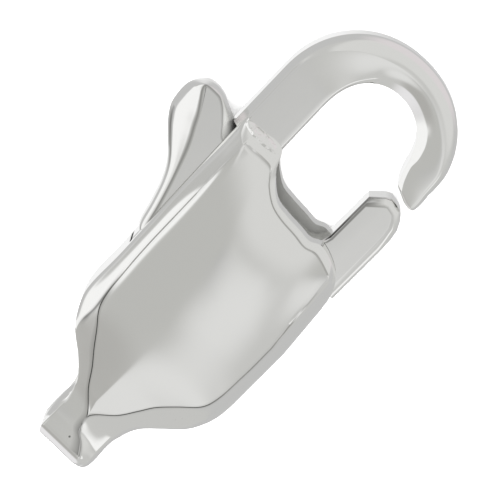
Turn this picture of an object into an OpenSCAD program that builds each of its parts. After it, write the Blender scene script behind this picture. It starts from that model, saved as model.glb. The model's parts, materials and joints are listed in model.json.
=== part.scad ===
// Lobster clasp for a necklace or bracelet: one cast body (tail eye, two cheeks, hook),
// a one-piece trigger (thumb lug, lever and gate) on a hidden pivot pin, and its leaf spring.
// Frame: origin at the centre of the tail eye, +X to the hook, +Y to the thumb lug, +Z out of the
// front face. Z = 0 is the middle plane; only the back cheek differs, by reaching a little further
// at the throat. Lengths in millimetres.

/* [Body] */
// Tail eye centre to the end of the cheeks at the hook root
body_l = 10.25; // [9.9:0.05:10.8]
// Middle line to the upper edge, at the hook root
body_up = 3.08; // [2.9:0.02:3.3]
// Middle line to the lower edge
body_down = 2.77; // [2.65:0.02:3]
// Thickness over the crowned faces
body_t = 3.4; // [3.2:0.05:3.9]
// Thickness at the crease round each face
crease_t = 2.8; // [2.6:0.05:3]
// Thickness at the outer rim of the cheeks
rim_t = 2.1; // [1.9:0.05:2.3]
// Further reach of the back cheek at the throat
back_reach = 0.26; // [0:0.02:0.3]

/* [Tail] */
// Tail eye centre to the flat tail end
tail_l = 1.1; // [1:0.05:1.4]
// Width of the tail
tail_w = 1.88; // [1.7:0.02:2.1]
// Thickness of the tail
tail_t = 2.2; // [2:0.05:2.5]
// Rounding of the tail's end edges
tail_r = 0.18; // [0.1:0.02:0.3]
// Hole through the tail for a jump ring
eye_d = 1.2; // [1:0.05:1.4]

/* [Slot] */
// Width of the slot between the cheeks
slot_w = 1.5; // [1.3:0.05:1.6]
// Tail eye centre to the near end of the slot, inside the body
slot_start = 3.05; // [2.8:0.05:3.4]
// How far the slot runs on behind its near end, where the spring's bend lies
slot_pocket = 0.35; // [0.25:0.05:0.5]
// Wall under the slot
floor_wall = 0.6; // [0.5:0.05:0.8]

/* [Hook] */
// Tail eye centre to the centre of the hook's bend
hook_l = 12.05; // [11.8:0.05:12.6]
// Hook centre line: bend radius along the clasp
bend_x = 2.26; // [2.2:0.02:2.5]
// Hook centre line: bend radius across the clasp
bend_y = 2.22; // [2.1:0.01:2.4]
// Height of the bend's centre above the middle line
bend_up = 0.26; // [0.15:0.01:0.35]
// Width of the hook at its root
root_w = 1.6; // [1.5:0.02:1.7]
// Width of the hook past the bend
wire_w = 1.22; // [1.1:0.01:1.3]
// Thickness of the hook at its root
root_t = 2; // [1.8:0.05:2.1]
// Thickness of the hook at its end
wire_t = 1.6; // [1.4:0.05:1.8]
// How far the hook stands above the cheeks' upper edge
hook_rise = 0.18; // [0.1:0.01:0.25]
// Pivot to the hook's end, which is an arc about the pivot
end_reach = 5.68; // [5.5:0.02:5.9]

/* [Trigger] */
// Side gap between the trigger and each cheek
side_gap = 0.06; // [0.04:0.01:0.12]
// Height of the gate bar
gate_h = 1.4; // [1.2:0.02:1.5]
// Gap between the gate's tip and the hook's end
gate_gap = 0.28; // [0.15:0.01:0.35]
// Height of the thumb lug above the body
lug_up = 1.85; // [1.5:0.05:2.2]
// How far the lug's faces stand proud of the lever's
lug_proud = 0.02; // [0.01:0.01:0.03]
// Length of the thumb lug
lug_l = 4.63; // [4.4:0.01:4.8]
// Length of the heel beyond the metal round the pin
heel_l = 0.85; // [0.7:0.05:1]
// How far the heel's underside lies below the pivot
heel_drop = 0.35; // [0.3:0.05:0.4]
// Gap between the trigger and the slot's ends and floor
end_gap = 0.15; // [0.1:0.01:0.25]

/* [Pivot] */
// Tail eye centre to the pivot, along the clasp
pivot_x = 6.45; // [6.3:0.05:6.6]
// Height of the pivot above the middle line
pivot_y = 0.5; // [0.4:0.05:0.65]
// Diameter of the pivot pin
pin_d = 1; // [0.8:0.05:1.2]
// Running gap round the pin in the trigger
pin_gap = 0.03; // [0.02:0.01:0.06]
// Gap round the pin in its seats
seat_gap = 0.01; // [0.01:0.01:0.02]
// Depth of the pin's seat in each cheek
seat_depth = 0.5; // [0.4:0.05:0.6]
// Metal round the pin in the trigger
boss_wall = 0.6; // [0.5:0.05:0.7]

/* [Spring] */
// Thickness of the spring leaf
leaf_t = 0.16; // [0.12:0.01:0.2]
// Width of the spring leaf
leaf_w = 1.2; // [1:0.05:1.25]
// How far the spring reaches under the trigger's heel
leaf_reach = 0.62; // [0.5:0.02:0.7]
// Gap between the spring and what it bears on
leaf_gap = 0.02; // [0.01:0.01:0.04]

/* [Hidden] */
$fn = 64;
silver = [0.84, 0.84, 0.82];
steel = [0.62, 0.63, 0.64];

// Columns of body_stations: the station's place in tail lengths and in body lengths, how far the
// upper and the lower edge have opened from the tail's width (0) to the body's (1), the upper and
// the lower crease as shares of those edges, and how far rim, crease and crown have risen from
// the tail's thickness (0) to the body's (1).
TAIL = 0;
ALONG = 1;
UPPER = 2;
LOWER = 3;
CREASE_UP = 4;
CREASE_DOWN = 5;
RIM = 6;
CREASE = 7;
CROWN = 8;
body_stations = [
    [-0.80, 0.000, 0.000, 0.025, -0.58, 0.66, 0.00, 0.00, 0.00],
    [-0.34, 0.000, 0.000, 0.030, -0.20, 0.29, 0.00, 0.00, 0.00],
    [-0.16, 0.000, 0.000, 0.030, 0.06, 0.00, 0.00, 0.00, 0.01],
    [0.00, 0.035, 0.005, 0.050, 0.20, -0.10, 0.03, 0.03, 0.04],
    [0.00, 0.098, 0.120, 0.175, 0.63, 0.40, 0.20, 0.22, 0.20],
    [0.00, 0.151, 0.364, 0.454, 0.65, 0.48, 0.40, 0.42, 0.38],
    [0.00, 0.195, 0.620, 0.720, 0.65, 0.50, 0.62, 0.58, 0.50],
    [0.00, 0.244, 0.785, 0.890, 0.70, 0.62, 0.85, 0.78, 0.64],
    [0.00, 0.302, 0.888, 0.995, 0.80, 0.78, 1.00, 0.95, 0.78],
    [0.00, 0.440, 0.902, 1.000, 0.86, 0.83, 1.00, 1.00, 0.96],
    [0.00, 0.560, 0.925, 1.000, 0.87, 0.83, 1.00, 1.00, 1.00]
];

// The cheeks end at the throat in this many rows, from the upper edge down to the lower edge.
// Columns of throat_rows: the crease and then the rim, each as a place in body lengths and a
// height in upper or lower body widths, the rim's thickness as a share of the crease's, and how
// much of back_reach the back cheek has there.
FACE_X = 0;
FACE_Y = 1;
EDGE_X = 2;
EDGE_Y = 3;
EDGE_Z = 4;
BACK = 5;
throat_rows = [
    [0.907, 0.997, 0.990, 1.000, 0.75, 0.0],
    [0.909, 0.925, 0.991, 0.920, 0.78, 0.0],
    [0.915, 0.851, 0.993, 0.828, 0.80, 0.0],
    [0.929, 0.747, 0.996, 0.731, 0.80, 0.0],
    [0.931, 0.617, 1.000, 0.617, 0.81, 0.0],
    [0.924, 0.487, 0.990, 0.523, 0.82, 0.1],
    [0.890, 0.377, 0.927, 0.406, 0.86, 0.5],
    [0.859, 0.227, 0.878, 0.227, 0.89, 0.9],
    [0.846, 0.065, 0.867, 0.065, 0.89, 1.0],
    [0.841, -0.144, 0.863, -0.152, 0.89, 1.0],
    [0.835, -0.307, 0.860, -0.296, 0.89, 1.0],
    [0.843, -0.469, 0.874, -0.433, 0.88, 0.9],
    [0.820, -0.733, 0.859, -0.635, 0.86, 0.6],
    [0.794, -0.825, 0.831, -0.795, 0.82, 0.3],
    [0.755, -0.935, 0.785, -0.905, 0.78, 0.0]
];
rows = len(throat_rows);
// Rows beside the face: edge, bevel and crease at each side.
side_rows = 2;
tail_steps = 3;
station_steps = 2;
cheek_steps = 6;
cheek_start = 0.56;
bevel_bulge = 0.05;
crown_power = 2.1;

// Columns of lug_rim: the place along the lug from its thin end (0) to its head (1), then the
// height of its back ridge and of the front face's edge, as shares of the lug's rise.
lug_rim = [
    [-0.040, -0.060, -0.14],
    [0.020, 0.080, -0.06],
    [0.170, 0.165, 0.03],
    [0.315, 0.275, 0.13],
    [0.430, 0.430, 0.22],
    [0.540, 0.675, 0.31],
    [0.620, 0.845, 0.39],
    [0.700, 0.965, 0.49],
    [0.775, 1.005, 0.58],
    [0.845, 1.015, 0.69],
    [0.905, 0.985, 0.79],
    [0.950, 0.880, 0.82],
    [0.982, 0.765, 0.77]
];
// The head's right side and the undercut below it, in the same shares: place and height of the
// back ridge, then place and height of the front face's edge.
lug_under = [
    [0.994, 0.640, 0.975, 0.62],
    [0.985, 0.480, 0.968, 0.51],
    [0.957, 0.320, 0.930, 0.38],
    [0.925, 0.160, 0.862, 0.22],
    [0.890, 0.030, 0.795, 0.07],
    [0.830, -0.300, 0.720, -0.30]
];

// Value of column c of a table at key x, smooth through the rows; the first column is the key.
function at_row(t, x, i = 0) = (i >= len(t) - 2 || x < t[i + 1][0]) ? i : at_row(t, x, i + 1);
function grade(t, i, c) =
    let (a = max(i - 1, 0), b = min(i + 1, len(t) - 1))
    (t[b][c] - t[a][c]) / (t[b][0] - t[a][0]);
function smooth(t, x, c) =
    let (i = at_row(t, x), h = t[i + 1][0] - t[i][0], s = (x - t[i][0]) / h)
    (1 + 2 * s) * pow(1 - s, 2) * t[i][c] + s * pow(1 - s, 2) * h * grade(t, i, c)
    + s * s * (3 - 2 * s) * t[i + 1][c] + s * s * (s - 1) * h * grade(t, i + 1, c);
function mix(a, b, s) = a + (b - a) * s;
function width(share) = share > 0 ? share * body_up : share * body_down;

// Body stations at their places in millimetres, so that they can be looked up by place.
places = [for (r = body_stations) concat([r[TAIL] * tail_l + r[ALONG] * body_l], r)];
function body_at(x, c) = smooth(places, x, c + 1);
function upper(x) = mix(tail_w / 2, body_up, body_at(x, UPPER));
function lower(x) = -mix(tail_w / 2, body_down, body_at(x, LOWER));
function rim(x) = mix(tail_t / 2 - tail_r, rim_t / 2, body_at(x, RIM));
function crease(x) = mix(tail_t / 2, crease_t / 2, body_at(x, CREASE));
function crown(x) = max(crease(x), mix(tail_t / 2, body_t / 2, body_at(x, CROWN)));

// Share from the upper crease (0) to the lower crease (1) of an inner row.
function down(r) = (r - side_rows) / (rows - 1 - 2 * side_rows);
function crown_share(r) = 1 - pow(abs(2 * down(r) - 1), crown_power);

// Front point of row r in the cross-section at x.
function section_point(x, r, inset = 0) =
    let (
        up = upper(x) - inset,
        low = lower(x) + inset,
        face_up = min(up * body_at(x, CREASE_UP), up - tail_r / 2),
        face_down = max(low * body_at(x, CREASE_DOWN), low + tail_r / 2),
        mid = rows - 1 - r,
        bulge = bevel_bulge * body_at(x, RIM)
    )
    r == 0 ? [x, up, rim(x) - inset]
    : r == 1 ? [x, mix(up, face_up, 0.45) + bulge, mix(rim(x), crease(x), 0.45) + bulge - inset]
    : r < rows - side_rows ? [x, mix(face_up, face_down, down(r)),
        crease(x) + (crown(x) - crease(x)) * crown_share(r) - inset]
    : mid == 1 ? [x, mix(low, face_down, 0.45) - bulge, mix(rim(x), crease(x), 0.45) + bulge - inset]
    : [x, low, rim(x) - inset];

// Front point of row r where the face ends at the throat's crease.
function throat_face(r) =
    let (t = throat_rows[r], flat = r < side_rows || r > rows - 1 - side_rows)
    [t[FACE_X] * body_l, width(t[FACE_Y]),
     flat ? section_point(cheek_start * body_l, r).z
          : mix(crease_t / 2, body_t / 2, 0.2 * crown_share(r)),
     t[BACK] * back_reach];
function throat_edge(r) =
    let (t = throat_rows[r])
    [t[EDGE_X] * body_l, width(t[EDGE_Y]), t[EDGE_Z] * crease_t / 2, t[BACK] * back_reach];

first_x = -tail_l + tail_r;
last_x = cheek_start * body_l;
body_columns = concat(
    [for (i = [0 : tail_steps - 1])
        let (a = 90 * i / tail_steps)
        [for (r = [0 : rows - 1])
            let (p = section_point(first_x, r, tail_r * (1 - sin(a))))
            [-tail_l + tail_r * (1 - cos(a)), p.y, p.z]]],
    [for (i = [0 : len(places) - 2], k = [0 : station_steps - 1])
        let (x = mix(places[i][0], places[i + 1][0], k / station_steps))
        [for (r = [0 : rows - 1]) section_point(max(x, first_x), r)]],
    [[for (r = [0 : rows - 1]) section_point(last_x, r)]],
    [for (i = [1 : cheek_steps])
        let (s = i / cheek_steps)
        [for (r = [0 : rows - 1])
            let (a = section_point(last_x, r), b = throat_face(r))
            [mix(a.x, b.x, s), mix(a.y, b.y, s), mix(a.z, b.z, s * s), s * s * b[3]]]],
    [[for (r = [0 : rows - 1]) throat_edge(r)]]
);

// A closed skin through columns of front points, mirrored to the back. Each column gives a ring:
// its front points from the upper edge to the lower one, then their mirror images back again.
// A fourth value of a front point is how much further along its mirror image lies.
function behind(p) = [p.x + (len(p) > 3 ? p[3] : 0), p.y, -p.z];
function mirrored(column) =
    concat([for (p = column) [p.x, p.y, p.z]],
           [for (i = [len(column) - 1 : -1 : 0]) behind(column[i])]);
function strip(n, base, flip) = [
    for (i = [0 : n / 2 - 2])
        let (a = base + i, b = base + i + 1, c = base + n - 2 - i, d = base + n - 1 - i)
        each flip ? [[a, d, b], [b, d, c]] : [[a, b, d], [b, c, d]]
];
module skin(columns) {
    n = 2 * len(columns[0]);
    points = [for (c = columns) each mirrored(c)];
    sides = [
        for (j = [0 : len(columns) - 2], i = [0 : n - 1])
            let (a = j * n + i, b = j * n + (i + 1) % n, c = a + n, d = b + n)
            each [[a, c, b], [b, c, d]]
    ];
    polyhedron(
        points = points,
        faces = concat(sides, strip(n, 0, false), strip(n, (len(columns) - 1) * n, true)),
        convexity = 10
    );
}

// Hook: a rounded bar swept along its centre line, from inside the cheeks round to its end.
hook_from = 0.95 * body_l;
hook_top = body_up + hook_rise - root_w / 2;
hook_turn = 164;
bend_square = 0.95;
bend_steps = 22;
ring_steps = 20;
turn_end = [hook_l + bend_x * fuller(cos(90 - hook_turn)), bend_up + bend_y * fuller(sin(90 - hook_turn))];
nose_y = turn_end.y - wire_w / 2;
nose_x = pivot_x + sqrt(end_reach * end_reach - pow(nose_y - pivot_y, 2)) - 0.25;
// A circle's cosine or sine, filled out towards a square's.
function fuller(c, e = bend_square) = sign(c) * pow(abs(c), e);
hook_line = concat(
    [for (s = [0 : 0.5 : 1]) [mix(hook_from, hook_l - 0.25, s), hook_top - 0.05 * (1 - s), 0]],
    [for (i = [0 : bend_steps])
        let (a = 90 - hook_turn * i / bend_steps)
        [hook_l + bend_x * fuller(cos(a)),
         bend_up + (a > 0 ? hook_top - bend_up : bend_y) * fuller(sin(a)), 0]],
    [for (s = [1 : 2]) [mix(turn_end.x, nose_x, s / 2), turn_end.y + 0.01 * s, 0]]
);
function unit(v) = v / norm(v);
function heading(line, i) = unit(line[min(i + 1, len(line) - 1)] - line[max(i - 1, 0)]);
// Share of the way from the root's section (0) to the wire's (1).
function slimming(i) =
    let (s = min(1, max(0, (i - 3) / (0.62 * bend_steps)))) s * s * (3 - 2 * s);
function hook_ring(i) =
    let (
        p = hook_line[i],
        t = heading(hook_line, i),
        side = [-t.y, t.x, 0],
        w = mix(root_w, wire_w, slimming(i)) / 2,
        h = mix(root_t, wire_t, slimming(i)) / 2,
        e = mix(0.55, 0.62, slimming(i))
    )
    [for (k = [ring_steps - 1 : -1 : 0])
        let (a = 360 * (k + 0.5) / ring_steps)
        p + side * w * fuller(cos(a), e) + [0, 0, h * fuller(sin(a), e)]];
module sweep(rings) {
    n = len(rings[0]);
    last = (len(rings) - 1) * n;
    polyhedron(
        points = [for (r = rings) each r],
        faces = concat(
            [for (j = [0 : len(rings) - 2], i = [0 : n - 1])
                let (a = j * n + i, b = j * n + (i + 1) % n, c = a + n, d = b + n)
                each [[a, b, c], [b, d, c]]],
            [[for (i = [n - 1 : -1 : 0]) i]],
            [[for (i = [0 : n - 1]) last + i]]
        ),
        convexity = 10
    );
}

// The hook's end is cut to an arc about the pivot, so that the gate's tip swings past it.
tip_r = end_reach - gate_gap;
module pivot_disc(r, h) {
    translate([pivot_x, pivot_y, -h / 2])
        cylinder(r = r, h = h);
}
module hook() {
    difference() {
        sweep([for (i = [0 : len(hook_line) - 1]) hook_ring(i)]);
        intersection() {
            pivot_disc(end_reach, 2 * body_t);
            translate([pivot_x, -2 * body_down, -body_t])
                cube([end_reach, 2 * body_down - wire_w, 2 * body_t]);
        }
    }
}

// Slot: open along the top from its mouth to the hook root, at the throat, and at the lower right
// where the gate lies. Past the mouth it runs on under the top, where the spring's bend lies.
slot_end = 0.948 * body_l;
slot_floor = -body_down + floor_wall;
floor_end = 0.735 * body_l;
slot_back = slot_start - slot_pocket;
// The lug's own frame: shares of its length from its thin end, and of its rise from its base.
lug_x0 = slot_end - end_gap - 0.885 * lug_l;
lug_base = body_up - 0.1;
function lug_x(s) = lug_x0 + s * lug_l;
function lug_y(s) = lug_base + s * (body_up + lug_up - lug_base);
// The mouth's near end is an arc about the pivot, just clear of the lug's thin end as it swings in.
mouth_r = norm([lug_x(lug_rim[0][0]) - pivot_x, lug_y(lug_rim[0][1]) - pivot_y]) + end_gap;
mouth_top = 180 - asin((body_up - pivot_y) / mouth_r);
mouth_low = 180 - asin((0.7 * body_up - pivot_y) / mouth_r);
mouth_steps = 6;
module slot() {
    translate([0, 0, -slot_w / 2])
        linear_extrude(slot_w)
            polygon(concat(
                [[pivot_x + mouth_r * cos(mouth_top), 2 * body_up]],
                [for (i = [0 : mouth_steps])
                    let (a = mix(mouth_top, mouth_low, i / mouth_steps))
                    [pivot_x + mouth_r * cos(a), pivot_y + mouth_r * sin(a)]],
                [[slot_start, 0.6 * body_up],
                [slot_back, 0.4 * body_up],
                [slot_back, 0.55 * slot_floor],
                [slot_start, slot_floor],
                [floor_end - floor_wall / 2, slot_floor],
                [floor_end, slot_floor - floor_wall / 4],
                [floor_end + end_gap / 2, -2 * body_down],
                [body_l * 1.1, -2 * body_down],
                [body_l * 1.1, 0.12 * body_up],
                [slot_end, 0.3 * body_up],
                [slot_end, 2 * body_up]]
            ));
}

module body() {
    color(silver)
        difference() {
            union() {
                skin(body_columns);
                hook();
            }
            slot();
            pivot_disc(pin_d / 2 + seat_gap, slot_w + 2 * seat_depth);
            rotate([90, 0, 0])
                cylinder(d = eye_d, h = 3 * tail_w, center = true);
        }
}

// Trigger plate, drawn from the pivot: gate bar to the right, stem up to the lug, heel to the left.
plate_t = slot_w - 2 * side_gap;
boss_r = pin_d / 2 + pin_gap + boss_wall;
gate_top = -0.445 * body_down;
gate_bottom = gate_top - gate_h;
gate_start = floor_end + 1.5 * end_gap;
gate_tip_y = mix(gate_top, gate_bottom, 0.4);
gate_tip_x = pivot_x + sqrt(tip_r * tip_r - pow(gate_tip_y - pivot_y, 2));
heel_y = pivot_y - heel_drop;
heel_x = pivot_x - boss_r - heel_l;
module plate_outline() {
    stem_top = lug_base - 0.12;
    difference() {
        union() {
            translate([pivot_x, pivot_y])
                circle(r = boss_r);
            polygon([
                [lug_x(0.12), stem_top],
                [pivot_x - boss_r * 0.9, pivot_y + boss_r * 0.5],
                [pivot_x + boss_r * 0.7, pivot_y - boss_r * 0.7],
                [gate_start + 1.0, gate_top + 0.9],
                [lug_x(0.76), stem_top - 0.9],
                [lug_x(0.86), stem_top]
            ]);
            polygon([
                [pivot_x - boss_r * 0.55, pivot_y - boss_r * 0.8],
                [gate_start, gate_bottom + 0.75],
                [gate_start + 0.12, gate_bottom + 0.12],
                [gate_start + 0.3, gate_bottom],
                [gate_tip_x - 1.35, gate_bottom],
                [gate_tip_x - 0.6, gate_bottom + 0.06],
                [gate_tip_x - 0.32, gate_bottom + 0.2],
                [gate_tip_x - 0.13, gate_bottom + 0.45],
                [gate_tip_x - 0.03, mix(gate_bottom, gate_tip_y, 0.78)],
                [gate_tip_x, gate_tip_y],
                [gate_tip_x - 0.09, gate_tip_y + 0.18],
                [gate_tip_x - 0.42, gate_top],
                [gate_start + 1.6, gate_top],
                [gate_start + 1.25, gate_top + 0.12],
                [gate_start + 1.0, gate_top + 0.4],
                [gate_start + 1.0, gate_top + 0.9],
                [pivot_x + boss_r * 0.8, pivot_y + boss_r * 0.6]
            ]);
            polygon([
                [pivot_x - boss_r * 0.5, pivot_y + boss_r * 0.86],
                [heel_x + 0.2, heel_y + 0.62],
                [heel_x, heel_y + 0.42],
                [heel_x, heel_y + 0.12],
                [heel_x + 0.12, heel_y],
                [heel_x + leaf_reach + 0.15, heel_y],
                [pivot_x - boss_r * 0.5, pivot_y - boss_r * 0.86]
            ]);
        }
        translate([pivot_x, pivot_y])
            circle(r = pin_d / 2 + pin_gap);
    }
}

lug_t = plate_t + 2 * lug_proud;
// Thumb lug: a front and a back face with a domed back between them, closed by an undercut head.
lug_columns = 3;
lug_ridge = concat(
    [for (p = lug_rim) [lug_x(p[0]), lug_y(p[1])]],
    [for (p = lug_under) [lug_x(p[0]), lug_y(p[1])]],
    [[lug_x(0.06), lug_y(-0.30)]]
);
lug_face = concat(
    [for (p = lug_rim) [lug_x(min(p[0] + 0.015, 0.972)), lug_y(p[2])]],
    [for (p = lug_under) [lug_x(p[2]), lug_y(p[3])]],
    [[lug_x(0.10), lug_y(-0.30)]]
);
function lug_ring(k) =
    let (a = 90 * k / lug_columns)
    [for (i = [0 : len(lug_ridge) - 1])
        let (p = mix(lug_ridge[i], lug_face[i], 1 - cos(a)))
        [p.x, p.y, lug_t / 2 * sin(a)]];
module lug() {
    sweep([for (k = [lug_columns : -1 : -lug_columns])
        let (ring = lug_ring(abs(k)))
        [for (i = [len(ring) - 1 : -1 : 0]) [ring[i].x, ring[i].y, sign(k) * ring[i].z]]]);
}

module trigger() {
    color(silver)
        union() {
            translate([0, 0, -plate_t / 2])
                linear_extrude(plate_t)
                    plate_outline();
            lug();
        }
}

module pivot_pin() {
    length = slot_w + 2 * seat_depth - 2 * seat_gap;
    color(steel)
        pivot_disc(pin_d / 2, length);
}

// Leaf spring: a strip bent back on itself, its lower leg on the slot's floor and its upper leg
// under the trigger's heel.
leaf_low = slot_floor + leaf_gap + leaf_t / 2;
leaf_high = heel_y - leaf_gap - leaf_t / 2;
leaf_bend = 0.42;
leaf_left = slot_start + 0.1 + leaf_bend;
leaf_line = concat(
    [[pivot_x + 0.2, leaf_low]],
    [for (a = [-90 : -20 : -250])
        [leaf_left + leaf_bend * cos(a), leaf_low + leaf_bend + leaf_bend * sin(a)]],
    [[heel_x + 0.1, leaf_high - 0.12],
     [heel_x + 0.6 * leaf_reach, leaf_high],
     [heel_x + leaf_reach, leaf_high - 0.08]]
);
function leaf_side(i, s) =
    let (t = heading(leaf_line, i)) leaf_line[i] + s * leaf_t / 2 * [-t.y, t.x];
module spring() {
    last = len(leaf_line) - 1;
    color(steel)
        translate([0, 0, -leaf_w / 2])
            linear_extrude(leaf_w)
                polygon(concat(
                    [for (i = [0 : last]) leaf_side(i, 1)],
                    [for (i = [last : -1 : 0]) leaf_side(i, -1)]
                ));
}

body();
trigger();
pivot_pin();
spring();
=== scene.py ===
# %% [markdown]
# # A cast lobster clasp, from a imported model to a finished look
# The clasp is 16 mm long. Its body and its trigger are two polished castings, joined by a hidden pin
# and a leaf spring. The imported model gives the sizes, the pivot and what moves with what. Here each
# casting is shaped again in fine steps, so that its edges, creases and hollows reflect as metal does.

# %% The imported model
import json
import math

import bmesh
import bpy
from mathutils import Matrix, Vector
from mathutils.kdtree import KDTree

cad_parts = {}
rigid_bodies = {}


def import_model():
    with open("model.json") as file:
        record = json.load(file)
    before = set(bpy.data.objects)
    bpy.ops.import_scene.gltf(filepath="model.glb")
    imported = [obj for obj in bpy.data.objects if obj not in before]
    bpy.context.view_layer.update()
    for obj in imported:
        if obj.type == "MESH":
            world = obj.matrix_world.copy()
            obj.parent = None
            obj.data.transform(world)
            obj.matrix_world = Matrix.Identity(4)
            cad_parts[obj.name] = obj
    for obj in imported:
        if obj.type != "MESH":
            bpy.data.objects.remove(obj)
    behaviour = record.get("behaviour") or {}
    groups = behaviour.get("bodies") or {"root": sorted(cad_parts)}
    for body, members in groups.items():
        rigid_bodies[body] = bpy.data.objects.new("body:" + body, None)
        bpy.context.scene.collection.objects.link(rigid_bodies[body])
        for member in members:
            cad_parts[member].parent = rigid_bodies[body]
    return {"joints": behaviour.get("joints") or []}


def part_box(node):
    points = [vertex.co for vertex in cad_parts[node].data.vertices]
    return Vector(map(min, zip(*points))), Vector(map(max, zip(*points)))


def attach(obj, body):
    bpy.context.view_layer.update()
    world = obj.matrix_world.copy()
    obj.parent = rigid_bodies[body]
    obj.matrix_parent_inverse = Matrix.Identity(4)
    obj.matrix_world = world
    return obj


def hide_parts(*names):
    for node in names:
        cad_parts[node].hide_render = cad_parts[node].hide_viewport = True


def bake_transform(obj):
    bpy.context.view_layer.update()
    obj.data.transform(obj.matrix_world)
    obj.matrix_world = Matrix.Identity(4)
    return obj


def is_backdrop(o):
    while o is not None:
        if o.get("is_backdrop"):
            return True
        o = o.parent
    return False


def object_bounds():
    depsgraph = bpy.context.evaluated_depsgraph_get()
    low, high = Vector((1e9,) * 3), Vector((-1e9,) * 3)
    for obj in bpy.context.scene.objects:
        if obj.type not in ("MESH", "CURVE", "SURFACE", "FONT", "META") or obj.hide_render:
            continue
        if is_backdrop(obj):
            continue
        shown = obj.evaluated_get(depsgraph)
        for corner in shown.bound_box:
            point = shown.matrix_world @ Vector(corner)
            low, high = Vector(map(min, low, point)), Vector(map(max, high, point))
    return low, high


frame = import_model()
cad_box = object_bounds()
bpy.ops.object.select_all(action="DESELECT")
MM = 0.001
pivot = Vector(frame["joints"][0]["pos_m"]) / MM
floor_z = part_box("body")[0].z / MM
print("pivot at", [round(v, 3) for v in pivot], "mm, floor at", round(floor_z, 3), "mm")

# %% [markdown]
# ## The camera
# A small shiny thing is photographed from far off with a long lens, so that it keeps its shape. The
# camera here stands 122 mm away and a little to the right of the clasp and above it, which shows the
# inner walls of the eye. It is rolled by 45 degrees, because the clasp lies across the picture.

# %% Camera
CAMERA_AT = Vector((26.3, 13.8, 120.0))
LOOK_AT = Vector((7.19, 0.09, 0.0))
LENS = 294.6
ROLL = 45


def camera_turn(place, target, roll_deg):
    """The turn of a camera that looks from its place to the target, rolled about its own axis."""
    back = (place - target).normalized()
    along = Vector((1, 0, 0))
    along = (along - along.dot(back) * back).normalized()
    across = back.cross(along)
    roll = math.radians(roll_deg)
    right = along * math.cos(roll) - across * math.sin(roll)
    up = along * math.sin(roll) + across * math.cos(roll)
    return Matrix((right, up, back)).transposed().to_4x4()


camera = bpy.data.cameras.new("camera")
camera.lens = LENS
camera.clip_start = 0.005
camera.clip_end = 20
camera_object = bpy.data.objects.new("camera", camera)
bpy.context.scene.collection.objects.link(camera_object)
camera_object.matrix_world = Matrix.Translation(CAMERA_AT * MM) @ camera_turn(CAMERA_AT, LOOK_AT, ROLL)
bpy.context.scene.camera = camera_object
bpy.context.scene.view_settings.view_transform = "Standard"
print("camera is", round((CAMERA_AT - LOOK_AT).length, 1), "mm from the clasp")

# %% [markdown]
# ## Shader nodes
# The light tent and the metal are both made of shader nodes. A node can be added and linked by hand in
# the shader editor. Here a few helpers do it, so that each recipe further on stays short.

# %% Helpers for nodes
# The places of a mix node's two inputs and of its outcome, for colours and for plain values.
MIX_SOCKETS = {"RGBA": (6, 7, 2), "FLOAT": (2, 3, 0)}


def feed(tree, socket, value):
    """Give an input another node's output, or else a plain value."""
    if isinstance(value, bpy.types.NodeSocket):
        tree.links.new(value, socket)
    else:
        socket.default_value = value


def add_node(tree, kind, *values, operation=None):
    """Add a node and feed its inputs, from the first one on."""
    node = tree.nodes.new(kind)
    if operation:
        node.operation = operation
    for socket, value in zip(node.inputs, values):
        feed(tree, socket, value)
    return node


def ranged(tree, value, start, end, low, high, curve="LINEAR"):
    """Turn a value between start and end into one between low and high."""
    node = add_node(tree, "ShaderNodeMapRange", value, start, end, low, high)
    node.interpolation_type = curve
    return node.outputs["Result"]


def layered(tree, share, under, over, kind="RGBA"):
    """Lay one colour or value over another, by a share from 0 to 1."""
    node = tree.nodes.new("ShaderNodeMix")
    node.data_type = kind
    first, second, outcome = MIX_SOCKETS[kind]
    for i, value in ((0, share), (first, under), (second, over)):
        feed(tree, node.inputs[i], value)
    return node.outputs[outcome]


print("mix nodes for:", ", ".join(MIX_SOCKETS))

# %% [markdown]
# ## The floor and the light tent
# Jewellery is shot in a tent: white cloth all round, brighter where a lamp stands behind it and greyer
# where it folds or where the camera looks in. Polished metal shows nothing but that tent, so the tent
# decides the look. Area lights would show as hard rectangles, so the tent is painted on the world by
# direction, panel over panel, each with its own level and soft edge. The paper under the clasp is
# overexposed, which hides its shadow, but in the metal it would be too bright. So the metal doesn't
# mirror the paper or its lamp, and sees the tent's own grey lower half instead.

# %% Floor
bpy.ops.mesh.primitive_plane_add(size=3, location=(0, 0, floor_z * MM))
floor = bpy.context.object
floor.name = "floor"
paper = bpy.data.materials.new("white paper")
paper.use_nodes = True
paper_shader = paper.node_tree.nodes["Principled BSDF"]
paper_shader.inputs["Base Color"].default_value = (0.86, 0.86, 0.86, 1)
paper_shader.inputs["Roughness"].default_value = 0.9
paper_shader.inputs["Specular IOR Level"].default_value = 0.1
floor.data.materials.append(paper)
floor.visible_glossy = False
floor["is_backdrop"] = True
print("floor of", paper.name, "at", round(floor.location.z / MM, 3), "mm")

# %% Light tent
TENT_BASE = (0.60, 0.60, 0.59)
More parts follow.
